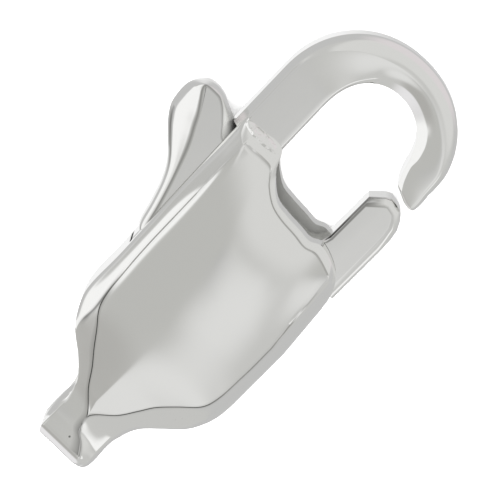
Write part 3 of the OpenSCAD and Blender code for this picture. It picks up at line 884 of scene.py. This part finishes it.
# %% Arcs, and ways along a path
def arc(middle, radius, start_deg, end_deg, count):
    """Points on an arc, with count steps between them."""
    points = []
    for s in steps(count):
        a = math.radians(mix(start_deg, end_deg, s))
        points.append((middle[0] + radius * math.cos(a), middle[1] + radius * math.sin(a)))
    return points


def nose_end(path):
    """How far along a path, in its steps, it comes to the arc on which the hook ends."""
    over = [math.hypot(p.x - PIVOT[0], p.y - PIVOT[1]) - END_REACH for p in path]
    k = next(k for k in range(1, len(path)) if over[k] < 0)
    return k - 1 + over[k - 1] / (over[k - 1] - over[k])


def along(path, k):
    """The point of a path after k of its steps."""
    i = min(int(k), len(path) - 2)
    return path[i].lerp(path[i + 1], k - i)


print("the nose ends", END_REACH, "mm from the pivot")

# %% The hook's nose, ended on an arc about the pivot
# How far the lip is rounded over, and how far its lowest corner is worn back, over what height.
LIP = 0.13
LOW_CORNER, LOW_CORNER_HIGH = 0.22, 0.5
nose_paths = list(zip(*rings[bend_last:]))
nose_stops = [nose_end(path) for path in nose_paths]
nose_step = (nose_paths[0][1] - nose_paths[0][0]).length
lip_ends = [along(path, stop) for path, stop in zip(nose_paths, nose_stops)]
lip_low = min(p.y for p in lip_ends)
nose_stops = [stop - LOW_CORNER / nose_step * max(1 - (p.y - lip_low) / LOW_CORNER_HIGH, 0) ** 2
              for p, stop in zip(lip_ends, nose_stops)]
nose_ways = list(zip(nose_paths, nose_stops))
lip_middle = sum((along(path, stop) for path, stop in nose_ways), Vector()) / len(nose_ways)
rings = rings[:bend_last + 1]
for s in steps(20)[1:]:
    rings.append([along(path, (stop - LIP / nose_step) * s) for path, stop in nose_ways])
for a in (25, 50, 70, 90):
    back = LIP * (1 - math.sin(math.radians(a)))
    inset = LIP * (1 - math.cos(math.radians(a)))
    ring = []
    for path, stop in nose_ways:
        point = along(path, stop - back / nose_step)
        ring.append(point + (lip_middle - point).normalized() * inset)
    rings.append(ring)
hook = tube("hook", rings)
fill_ends(hook)
print("hook", closed(hook))
carve(body, hook, "UNION")

# %% [markdown]
# ## Slot, tail eye and pin seats
# The cheeks are two only because a slot is milled between them. It is open at the top for the lever,
# at the throat, and at the lower right for the gate. The eye of the tail runs across, from the upper
# edge to the lower one, with its rims worn by the jump ring.

# %% Slot
SLOT_WIDE = 1.5
SLOT_BACK, SLOT_FLOOR = 3.05, -2.17
MOUTH_R = 2.81
mouth = arc(PIVOT, MOUTH_R, 112, 143.5, 14)
# Its outline: down the mouth behind the lug, round the spring's space, and out at the gate and throat.
SLOT = [
    (mouth[0][0], 6.2), *mouth, (SLOT_BACK, 1.85), (2.7, 1.23), (2.7, -1.19), (SLOT_BACK, SLOT_FLOOR),
    (7.234, SLOT_FLOOR), (7.534, -2.32), (7.609, -5.5), (11.275, -5.5), (11.275, 0.37), (9.717, 0.92),
    (9.717, 6.2),
]
carve(body, slab("slot", SLOT, -SLOT_WIDE / 2, SLOT_WIDE / 2))
print("slot:", SLOT_WIDE, "mm wide")

# %% Pin seats and tail eye
PIN_R = 0.5
SEAT_DEEP = 0.5
bpy.ops.mesh.primitive_cylinder_add(vertices=64, radius=PIN_R + 0.01,
                                    depth=SLOT_WIDE + 2 * SEAT_DEEP, location=(*PIVOT, 0))
carve(body, bpy.context.object)
EYE_R = 0.6
# The bore's radius at each height: the ring has worn its rims wide.
BORE = [
    (-1.6, 0.72), (-1.0, 0.70), (-0.93, 0.66), (-0.86, 0.635), (-0.78, 0.615), (-0.60, EYE_R),
    (0.50, EYE_R), (0.66, 0.615), (0.78, 0.66), (0.855, 0.74), (0.905, 0.88), (0.932, 1.08), (1.6, 1.1),
]


def bore_ring(y, r):
    """A circle round the bore's axis, at height y."""
    return [(r * math.cos(a), y, r * math.sin(a)) for a in (2 * math.pi * k / 96 for k in range(96))]


bore = tube("bore", [bore_ring(*row) for row in BORE])
fill_ends(bore)
carve(body, bore)
polish_shading(body)

# %% Faces inside the slot
# They aren't polished, and get a dark colour that paints the shade inside the slot. The metal finds them
# by this attribute. A face counts if it lies on one of the slot's walls, or between them and not at the
# mouth.
HALF_SLOT = SLOT_WIDE / 2
TOUCH = 0.001
INSIDE_FROM, INSIDE_TO = Vector((2.69, -2.35)), Vector((9.73, 10.0))
MOUTH_FROM_Y, MOUTH_TO_X = 2.75, 4.9


def is_inside(polygon):
    """Whether a face of the body is one of the slot's."""
    points = [body.data.vertices[i].co for i in polygon.vertices]
    if abs(polygon.normal.z) > 0.99 and all(abs(abs(p.z) - HALF_SLOT) < TOUCH for p in points):
        return True
    within = all(INSIDE_FROM.x < p.x < INSIDE_TO.x and INSIDE_FROM.y < p.y < INSIDE_TO.y
                 and abs(p.z) < HALF_SLOT + TOUCH for p in points)
    at_mouth = max(p.y for p in points) >= MOUTH_FROM_Y and min(p.x for p in points) <= MOUTH_TO_X
    return within and not at_mouth


# These faces get a dark colour that paints the shade inside the slot, with a rougher, half-metallic finish.
inside = body.data.attributes.new("inside", "FLOAT", "FACE")
for polygon in body.data.polygons:
    inside.data[polygon.index].value = 1.0 if is_inside(polygon) else 0.0
print("faces inside the slot:", sum(face.value > 0 for face in inside.data))

# %% [markdown]
# ## Trigger
# The trigger is the second casting: a plate that turns on the pin, with the gate at its lower end and
# the domed thumb lug at its upper end. The plate is an outline drawn up and bevelled; the lug is a
# loft from its back ridge to the edges of its flat faces.

# %% Plate of the trigger
PLATE_THICK = 1.38
BOSS_R = 1.13
HOLE_R = 0.53
TONGUE_R = 2.765
GATE_TOP, GATE_BOTTOM = -1.233, -2.633
GATE_START = 7.76
GATE_REACH = 5.40
gate_tip_y = mix(GATE_TOP, GATE_BOTTOM, 0.4)
gate_tip_x = PIVOT[0] + math.sqrt(GATE_REACH ** 2 - (gate_tip_y - PIVOT[1]) ** 2)
LUG_X0, LUG_BASE, LUG_LONG, LUG_RISE = 5.469, 2.98, 4.63, 1.95
HEEL = (4.47, 0.15)


def lug_at(s, t):
    """A place on the lug, by shares of its length and its rise."""
    return LUG_X0 + s * LUG_LONG, LUG_BASE + t * LUG_RISE


def boss_at(u, v):
    """A place by the pivot, by shares of the boss's radius."""
    return PIVOT[0] + BOSS_R * u, PIVOT[1] + BOSS_R * v


# From under the lug down the arm, along the gate's top, round its tip, back along its bottom, round
# the boss and the heel, and up the tongue that fills the slot's mouth.
plate_outline = [
    lug_at(0.76, -0.5), (GATE_START + 1.0, GATE_TOP + 0.95), (GATE_START + 1.0, GATE_TOP + 0.4),
    (GATE_START + 1.08, GATE_TOP + 0.2), (GATE_START + 1.25, GATE_TOP + 0.07),
    (GATE_START + 1.5, GATE_TOP), (gate_tip_x - 0.43, GATE_TOP),
    (gate_tip_x - 0.09, gate_tip_y + 0.18), (gate_tip_x, gate_tip_y),
    (gate_tip_x - 0.03, mix(GATE_BOTTOM, gate_tip_y, 0.78)),
    (gate_tip_x - 0.07, gate_tip_y - 0.36), (gate_tip_x - 0.14, gate_tip_y - 0.48),
    (gate_tip_x - 0.32, GATE_BOTTOM + 0.21), (gate_tip_x - 0.6, GATE_BOTTOM + 0.07),
    (gate_tip_x - 0.95, GATE_BOTTOM + 0.015), (gate_tip_x - 1.35, GATE_BOTTOM),
    (GATE_START + 0.2, GATE_BOTTOM), (GATE_START, GATE_BOTTOM + 0.75),
    boss_at(-0.35, -0.94), boss_at(-0.7, -0.71), (HEEL[0] + 0.77, HEEL[1]),
    (HEEL[0] + 0.12, HEEL[1]), (HEEL[0], HEEL[1] + 0.12), (HEEL[0], HEEL[1] + 0.42),
    (HEEL[0] + 0.2, HEEL[1] + 0.62), boss_at(-0.75, 0.66),
    *arc(PIVOT, TONGUE_R, 143, 119, 8), lug_at(0.13, -0.03), lug_at(0.86, -0.06),
]
trigger = slab("clasp_trigger", plate_outline[::-1], -PLATE_THICK / 2, PLATE_THICK / 2)
bpy.ops.mesh.primitive_cylinder_add(vertices=64, radius=HOLE_R, depth=4, location=(*PIVOT, 0))
carve(trigger, bpy.context.object)
print("plate:", closed(trigger))

# %% Bevels of the plate
# The widest bevel, and each edge's share of it: round the gate, along its top, and elsewhere.
PLATE_BEVEL = 0.26
GATE_SHARE, GATE_TOP_SHARE, PLAIN_SHARE = 1.0, 0.4, 0.25
# What is no higher than this above the gate's top belongs to the gate.
NEAR_TOP = 0.05
select_only(trigger)
weights = trigger.data.attributes.new("bevel_weight_edge", "FLOAT", "EDGE")
for edge in trigger.data.edges:
    a, b = (trigger.data.vertices[i].co for i in edge.vertices)
    level = abs(a.z - b.z) < 1e-4
    x, y = (a.x + b.x) / 2, (a.y + b.y) / 2
    on_gate = x > GATE_START + 0.9 and y < GATE_TOP + NEAR_TOP
    if level and on_gate:
        weights.data[edge.index].value = GATE_SHARE if y < GATE_TOP - 0.02 else GATE_TOP_SHARE
    elif level:
        weights.data[edge.index].value = PLAIN_SHARE
edges = trigger.modifiers.new("edges", "BEVEL")
edges.width = PLATE_BEVEL
edges.segments = 5
edges.profile = 0.5
edges.limit_method = "WEIGHT"
edges.use_clamp_overlap = False
edges.edge_weight = "bevel_weight_edge"
bpy.ops.object.modifier_apply(modifier=edges.name)
print("bevelled plate:", len(trigger.data.polygons), "faces")


# %% Lines along the gate's edges
def is_flat(polygon, corners):
    """Whether a face lies level, with more corners than a strip's face has."""
    return len(polygon.vertices) > corners and abs(polygon.normal.z) > 0.99


def inset_flats(piece, width, corners):
    """Lay a narrow border inside each large flat face, so that what marks its edge stays there."""
    select_only(piece)
    bpy.ops.object.mode_set(mode="EDIT")
    bpy.ops.mesh.select_all(action="DESELECT")
    bpy.context.tool_settings.mesh_select_mode = (False, False, True)
    bpy.ops.object.mode_set(mode="OBJECT")
    for polygon in piece.data.polygons:
        polygon.select = is_flat(polygon, corners)
    bpy.ops.object.mode_set(mode="EDIT")
    bpy.ops.mesh.inset(thickness=width, depth=0)
    bpy.context.tool_settings.mesh_select_mode = (False, True, False)
    bpy.ops.mesh.select_all(action="DESELECT")
    bpy.ops.object.mode_set(mode="OBJECT")


PLATE_CORNERS = 20
# How dark the painted shade is along the flat face's top edge, along the rest of its edge, and on the
# bevel's upper row.
TOP_LINE_SHADE, EDGE_LINE_SHADE, BEVEL_LINE_SHADE = 0.8, 0.3, 0.9
# Points along the gate's edges, where shade is painted into the colour as dark lines.
gate_lines = []
for polygon in trigger.data.polygons:
    if is_flat(polygon, PLATE_CORNERS):
        for i in polygon.vertices:
            x, y, z = trigger.data.vertices[i].co
            if x > GATE_START + 1.3 and y < GATE_TOP + NEAR_TOP:
                gate_lines.append((x, y, z, TOP_LINE_SHADE if y > GATE_TOP - 0.2 else EDGE_LINE_SHADE))
for vertex in trigger.data.vertices:
    x, y, z = vertex.co
    if x > GATE_START + 1.4 and GATE_TOP - 0.09 < y < GATE_TOP - 0.004 and abs(z) > 0.5:
        gate_lines.append((x, y, z, BEVEL_LINE_SHADE))
inset_flats(trigger, 0.04, PLATE_CORNERS)
print("gate edge points:", len(gate_lines))

# %% Lug tables
# Place along the lug (0 at its thin end, 1 at its head) and height of the back ridge, then place and
# height of the edge of the flat face, all as shares of the lug's length and rise.
LUG_SPINE = [
    (-0.040, -0.060, -0.025, -0.140), (0.020, 0.062, 0.035, -0.060), (0.170, 0.158, 0.185, 0.030),
    (0.315, 0.275, 0.330, 0.130), (0.430, 0.430, 0.445, 0.220), (0.540, 0.675, 0.555, 0.310),
    (0.620, 0.845, 0.635, 0.390), (0.700, 0.965, 0.715, 0.490), (0.775, 1.005, 0.790, 0.580),
    (0.845, 1.015, 0.860, 0.690), (0.905, 0.985, 0.920, 0.790), (0.950, 0.880, 0.958, 0.820),
    (0.982, 0.765, 0.972, 0.770), (0.994, 0.640, 0.975, 0.620), (0.985, 0.480, 0.968, 0.510),
    (0.957, 0.320, 0.930, 0.380), (0.925, 0.160, 0.862, 0.220), (0.890, 0.030, 0.795, 0.070),
    (0.765, -0.300, 0.700, -0.300), (0.060, -0.300, 0.100, -0.300),
]
LUG_KEYS = [(i, *row) for i, row in enumerate(LUG_SPINE)]
print("lug:", LUG_LONG, "mm long,", LUG_RISE, "mm high, told by", len(LUG_SPINE), "rows")

# %% A contour of the lug
LUG_THICK = PLATE_THICK + 0.04
LUG_POINTS = 130
# How steeply the lug falls from its face to its ridge, and how much of its thickness that may take.
LUG_SLOPE = math.tan(math.radians(20))
MOST_FALL = 0.7
RIDGE_POWER = 6


def lug_ring(share):
    """One contour of the lug, from its back ridge (0) to the edge of its face (1)."""
    out = math.cos(math.radians(90 * share))
    ring = []
    for s in steps(LUG_POINTS):
        k = s * (len(LUG_SPINE) - 2)
        a = lug_at(lookup(LUG_KEYS, k, 1), lookup(LUG_KEYS, k, 2))
        b = lug_at(lookup(LUG_KEYS, k, 3), lookup(LUG_KEYS, k, 4))
        fall = min(LUG_SLOPE * math.hypot(a[0] - b[0], a[1] - b[1]) * 2 / LUG_THICK, MOST_FALL)
        high = LUG_THICK / 2 * (1 - fall * out - (1 - fall) * out ** RIDGE_POWER)
        ring.append((mix(b[0], a[0], out), mix(b[1], a[1], out), high))
    # The last row closes the ring along the lug's hidden lower edge.
    a, b = lug_at(*LUG_SPINE[-1][:2]), lug_at(*LUG_SPINE[-1][2:])
    low = ring[LUG_POINTS]
    for s in (0.75, 0.5, 0.25, 0.0):
        ring.append((mix(mix(b[0], a[0], out), low[0], s), low[1], low[2]))
    return ring


# %% Lug, joined to the plate
LUG_ROWS = 12
LUG_INSET = 0.08
shares = [i / LUG_ROWS for i in range(LUG_ROWS, -1, -1)]
front_rings = [lug_ring(s) for s in shares]
back_rings = [[(x, y, -z) for x, y, z in ring] for ring in front_rings[-2::-1]]
lug = tube("lug", front_rings + back_rings)
fill_ends(lug)
inset_flats(lug, LUG_INSET, 4)
carve(trigger, lug, "UNION")
polish_shading(trigger)

# %% Shaded faces under the lug
# The nook under the lug's head faces the hook, and no wheel gets in. It gets the slot's rougher finish and
# a dark colour that paints the shade it lies in, fading upwards.
NOOK_X, NOOK_Y = 8.9, 2.6
NOOK_FADE = (3.0, 3.75)
nook_shade = trigger.data.attributes.new("inside", "FLOAT", "FACE")
for polygon in trigger.data.polygons:
    x, y, z = polygon.center
    in_nook = x > NOOK_X and y > NOOK_Y and polygon.normal.x > 0.1
    nook_shade.data[polygon.index].value = 1 - ease(y, *NOOK_FADE) if in_nook else 0.0
print("faces in the nook:", sum(face.value > 0 for face in nook_shade.data))

# %% [markdown]
# ## Pivot pin and leaf spring
# Both are hidden in the slot. The pin is a plain polished rod with rounded ends, pressed into blind
# seats. The spring is a strip bent back on itself; its lower leg lies on the slot's floor and its
# upper leg pushes the heel of the trigger up.

# %% Pivot pin
bpy.ops.mesh.primitive_cylinder_add(vertices=64, radius=PIN_R, depth=SLOT_WIDE + 2 * SEAT_DEEP - 0.02,
                                    location=(*PIVOT, 0))
pin = bpy.context.object
pin.name = "clasp_pin"
bpy.ops.object.transform_apply(location=True, rotation=True, scale=True)
rounding = pin.modifiers.new("rounding", "BEVEL")
rounding.width = 0.06
rounding.segments = 3
rounding.limit_method = "ANGLE"
bpy.ops.object.modifier_apply(modifier=rounding.name)
polish_shading(pin)

# %% Leaf spring
LEAF_THICK, LEAF_WIDE, LEAF_BEND = 0.16, 1.2, 0.42
LEAF_EDGE = 0.03
LEAF_GAP = 0.02
leaf_low = SLOT_FLOOR + LEAF_GAP + LEAF_THICK / 2
leaf_high = HEEL[1] - LEAF_GAP - LEAF_THICK / 2
leaf_left = SLOT_BACK + 0.1 + LEAF_BEND
leaf_line = [(mix(PIVOT[0] + 0.2, leaf_left + 0.1, s), leaf_low) for s in steps(12)]
leaf_line += arc((leaf_left, leaf_low + LEAF_BEND), LEAF_BEND, -95, -250, 24)
upper = [leaf_line[-1], (HEEL[0] + 0.1, leaf_high - 0.12), (HEEL[0] + 0.37, leaf_high),
         (HEEL[0] + 0.62, leaf_high - 0.08)]
for a, b in zip(upper, upper[1:]):
    leaf_line += [(mix(a[0], b[0], s), mix(a[1], b[1], s)) for s in steps(6)[1:]]


def leaf_ring(i):
    """The strip's section, with its corners cut, square to its way at a point of its line."""
    (ax, ay), (bx, by) = leaf_line[max(i - 1, 0)], leaf_line[min(i + 1, len(leaf_line) - 1)]
    way = Vector((bx - ax, by - ay)).normalized()
    out = Vector((-way.y, way.x))
    t, w, r = LEAF_THICK / 2, LEAF_WIDE / 2, LEAF_EDGE
    around = [(t, -w + r), (t, w - r), (t - r, w), (r - t, w),
              (-t, w - r), (-t, r - w), (r - t, -w), (t - r, -w)]
    x, y = leaf_line[i]
    return [(x + out.x * u, y + out.y * u, v) for u, v in around]


spring = tube("clasp_spring", [leaf_ring(i) for i in range(len(leaf_line))])
fill_ends(spring)
polish_shading(spring)

# %% [markdown]
# ## Polished metal
# White metal is all mirror, so its colour hardly matters and its roughness decides everything. Hand
# polishing leaves a faint unevenness that softens each reflection a little, and hairline scratches. The
# creases and a few slopes are darkened in colour, as painted shade and painted dark reflections.

# %% How near each point is to a crease
def paint_crease_shade(piece, lines, reach):
    """Store, per point, a line's weight on the line and 0 further away than reach, in millimetres; the
    metal's colour is darkened by it, as painted shade.
    """
    tree = KDTree(len(lines))
    for i, point in enumerate(lines):
        tree.insert(point[:3], i)
    tree.balance()
    # This attribute holds the painted shade and painted dark reflections along the lines.
    near = piece.data.attributes.new("crease", "FLOAT", "POINT")
    for vertex in piece.data.vertices:
        place, i, distance = tree.find(vertex.co)
        near.data[vertex.index].value = lines[i][3] * max(1 - distance / reach, 0) ** 2


# %% Creases of the body
# Its creases are painted with shade, less dark on the way from the tail to the throat, and its fold
# with a dark reflection, only where the cheeks begin.
def crease_shade_up(x):
    """The painted shade in the upper crease."""
    return mix(1.0, 0.30, ease(x, 3.0, 4.4)) * mix(1.0, 0.5, ease(x, 7.5, 9.0))


def crease_shade_low(x):
    """The painted shade in the lower crease."""
    return mix(0.85, 0.35, ease(x, 2.6, 4.2)) * mix(1.0, 0.6, ease(x, 7.0, 8.5))


def fold_dark_reflection(x):
    """The painted dark reflection along the upper border's fold."""
    return 1.3 * ease(x, 2.1, 2.6) * (1 - ease(x, 3.3, 4.6))


# How dark the shade painted along the throat's groove is, and how far each painted line reaches, in
# millimetres.
THROAT_SHADE = 0.3
CREASE_REACH = 0.09
crease_lines = []


def add_line(point, weight):
    """Add a point of the front half's line, and its like on the back half."""
    x, y, z, reach = point
    crease_lines.extend([(x, y, z, weight), (x + reach, y, -z, weight)])


for column in columns[len(TAIL_COLUMNS):cheek_end]:
    for point, (side, zone, s) in zip(column, ROWS):
        x = point[0]
        if zone == "groove" and s == 0.5:
            add_line(point, crease_shade_up(x) if side == "up" else crease_shade_low(x))
        on_fold = (side, zone) == ("up", "border") and abs(s - UP_FOLD_ROW) < 0.01
        if on_fold and fold_dark_reflection(x) > 0:
            add_line(point, fold_dark_reflection(x))
for point, row in zip(throat_groove, ROWS):
    if row[0] == "face":
        add_line(point, THROAT_SHADE)
paint_crease_shade(body, crease_lines, CREASE_REACH)
print("crease points on the body:", len(crease_lines))

# %% Creases of the trigger
# The lug's painted lines are shade along its face's edge and a short dark reflection, painted as a streak
# on the slope beside its head.
FACE_EDGE_SHADE, STREAK_REFLECTION = 0.7, 0.5
TRIGGER_REACH = 0.06
lug_lines = [(x, y, side * z, FACE_EDGE_SHADE) for x, y, z in front_rings[0] for side in (1, -1)]
lug_lines += [(x, y, side * z, STREAK_REFLECTION) for x, y, z in front_rings[8][34:52] for side in (1, -1)]
paint_crease_shade(trigger, lug_lines + gate_lines, TRIGGER_REACH)
print("crease points on the trigger:", len(lug_lines + gate_lines))

# %% Patterns of the metal
# The share of its size at which a patch starts to fade.
PATCH_EDGE = 0.6


def cloud(tree, place, scale, detail):
    """An uneven pattern, the finer the higher its scale."""
    noise = add_node(tree, "ShaderNodeTexNoise", place)
    noise.inputs["Scale"].default_value = scale
    noise.inputs["Detail"].default_value = detail
    return noise.outputs["Fac"]


def patch(tree, place, middle, size):
    """1 in the middle of an oval patch and 0 outside it; middle and half sizes are in millimetres."""
    middle, size = ([c * MM for c in sizes] for sizes in (middle, size))
    away = add_node(tree, "ShaderNodeVectorMath", place, middle, operation="SUBTRACT").outputs[0]
    share = add_node(tree, "ShaderNodeVectorMath", away, size, operation="DIVIDE").outputs[0]
    length = add_node(tree, "ShaderNodeVectorMath", share, operation="LENGTH").outputs["Value"]
    return ranged(tree, length, PATCH_EDGE, 1.0, 1.0, 0.0)


def bumped(tree, height, strength, distance, normal=None):
    """A bumpy surface, laid on an earlier one if there is one."""
    bump = tree.nodes.new("ShaderNodeBump")
    for name, value in (("Strength", strength), ("Distance", distance), ("Height", height)):
        feed(tree, bump.inputs[name], value)
    if normal:
        feed(tree, bump.inputs["Normal"], normal)
    return bump.outputs["Normal"]


def marked(tree, name):
    """The value that a mesh's attribute holds."""
    node = tree.nodes.new("ShaderNodeAttribute")
    node.attribute_name = name
    return node.outputs["Fac"]


# %% Polished metal
# The clouds are in metres, as the pieces are in the end, so these scales make patterns of 1 to 2 mm.
GLOSS_CLOUD, WAVE_CLOUD = (900, 3), (500, 4)
WAVE_HIGH = 0.02 * MM


def polished(name, colour, roughness, uneven):
    """A metal with a faint unevenness in its gloss and its surface."""
    made = bpy.data.materials.new(name)
    made.use_nodes = True
    tree = made.node_tree
    place = tree.nodes.new("ShaderNodeTexCoord").outputs["Object"]
    gloss = ranged(tree, cloud(tree, place, *GLOSS_CLOUD), 0.3, 0.7, roughness * 0.8, roughness * 1.2)
    waves = bumped(tree, cloud(tree, place, *WAVE_CLOUD), uneven, WAVE_HIGH)
    look = {"Metallic": 1.0, "Base Color": (*colour, 1), "Roughness": gloss, "Normal": waves}
    for socket, value in look.items():
        feed(tree, tree.nodes["Principled BSDF"].inputs[socket], value)
    return made


pin_metal = polished("pin metal", (0.78, 0.78, 0.77), 0.22, 0.2)
spring_metal = polished("spring steel", (0.56, 0.57, 0.58), 0.28, 0.3)
print("made", pin_metal.name, "and", spring_metal.name)

# %% Casting marks and painted shade on the metal
# Where the casting was filed and left rough, and three small spots darkened with the tint, one in the
# tail and two under its neck: each with its middle and its half sizes in millimetres.
FILED = ((10.03, 2.3, 1.0), (0.17, 0.68, 0.6))
DARK_SPOTS = [
    ((-0.50, 0.085, 1.1), (0.045, 0.04, 0.2)),
    ((2.12, -1.80, 0.85), (0.10, 0.03, 0.3)),
    ((2.28, -1.92, 0.85), (0.05, 0.05, 0.3)),
]
# The dark tint that paints shade into the creases, dark reflections on the lug and the fold, and darkens
# the spots; and how much of it at most.
PAINTED_SHADE_TINT = (0.10, 0.10, 0.095, 1)
MOST_PAINTED_SHADE = 0.75
# The inside's finish: a dark colour that paints shade, and an unpolished roughness and share of metal.
UNPOLISHED_AND_SHADE_TONE = (0.25, 0.25, 0.24, 1)
AS_CAST_ROUGH, AS_CAST_METALLIC = 0.42, 0.5
STROKES_CLOUD = (5200, 2)
STROKES_BUMP = (0.9, 0.1 * MM)


def add_marks_and_painted_shade(made, colour):
    """Lay painted crease shade, dark spots, file marks and the unpolished, painted-dark inside over a
    polished metal.
    """
    tree = made.node_tree
    sockets = tree.nodes["Principled BSDF"].inputs
    gloss, waves = (sockets[name].links[0].from_socket for name in ("Roughness", "Normal"))
    place = tree.nodes.new("ShaderNodeTexCoord").outputs["Object"]
    # The slot's and the nook's faces, with their painted shade, and the lines of painted shade and dark
    # reflection.
    inner, dark = marked(tree, "inside"), marked(tree, "crease")
    for spot in DARK_SPOTS:
        spotted = patch(tree, place, *spot)
        dark = add_node(tree, "ShaderNodeMath", dark, spotted, operation="MAXIMUM").outputs[0]
    tint = layered(tree, ranged(tree, dark, 0.0, 1.0, 0.0, MOST_PAINTED_SHADE), (*colour, 1), PAINTED_SHADE_TINT)
    feed(tree, sockets["Base Color"], layered(tree, inner, tint, UNPOLISHED_AND_SHADE_TONE))
    feed(tree, sockets["Metallic"], ranged(tree, inner, 0.0, 1.0, 1.0, AS_CAST_METALLIC))
    feed(tree, sockets["Roughness"], layered(tree, inner, gloss, AS_CAST_ROUGH, "FLOAT"))
    filed = patch(tree, place, *FILED)
    fine = cloud(tree, place, *STROKES_CLOUD)
    strokes = add_node(tree, "ShaderNodeMath", fine, filed, operation="MULTIPLY")
    feed(tree, sockets["Normal"], bumped(tree, strokes.outputs[0], *STROKES_BUMP, waves))


# %% Finishes of the pieces
SILVER = (0.90, 0.90, 0.885)
silver = polished("polished silver", SILVER, 0.10, 0.12)
add_marks_and_painted_shade(silver, SILVER)
for piece, finish in ((body, silver), (trigger, silver), (pin, pin_metal), (spring, spring_metal)):
    piece.data.materials.clear()
    piece.data.materials.append(finish)
    print(piece.name, "is of", finish.name)

# %% From millimetres to metres
# Scaled in its mesh, so that its object stays unscaled.
for piece in (body, trigger, pin, spring):
    select_only(piece)
    bpy.ops.object.transform_apply(location=True, rotation=True, scale=True)
    piece.scale = (MM, MM, MM)
    bpy.ops.object.transform_apply(location=True, rotation=True, scale=True)
    print(piece.name, "is", [round(size / MM, 2) for size in piece.dimensions], "mm")

# %% [markdown]
# ## Handing over
# Each piece rides on the body that moves it and stands in for its part of the imported model. The spring
# touches both bodies, and rides on neither.

# %% What moves with what
for piece, rides_on, node, slot_name in (
    (body, "body", "body", "body"),
    (pin, "body", "pivot_pin", "pin"),
    (spring, None, "spring", "spring"),
    (trigger, "trigger", "trigger", "trigger"),
):
    if rides_on:
        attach(piece, rides_on)
    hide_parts(node)
    print(piece.name, "stands for", node)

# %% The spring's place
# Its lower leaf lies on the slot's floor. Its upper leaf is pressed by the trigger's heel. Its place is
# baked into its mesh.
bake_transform(spring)
print("the spring bends between y =", round(leaf_low, 2), "and", round(leaf_high, 2), "mm")

# %% Sizes, kept for comparison
shown_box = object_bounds()
for name, box in (("packed", cad_box), ("shown", shown_box)):
    print(name, [[round(v / MM, 3) for v in corner] for corner in box])
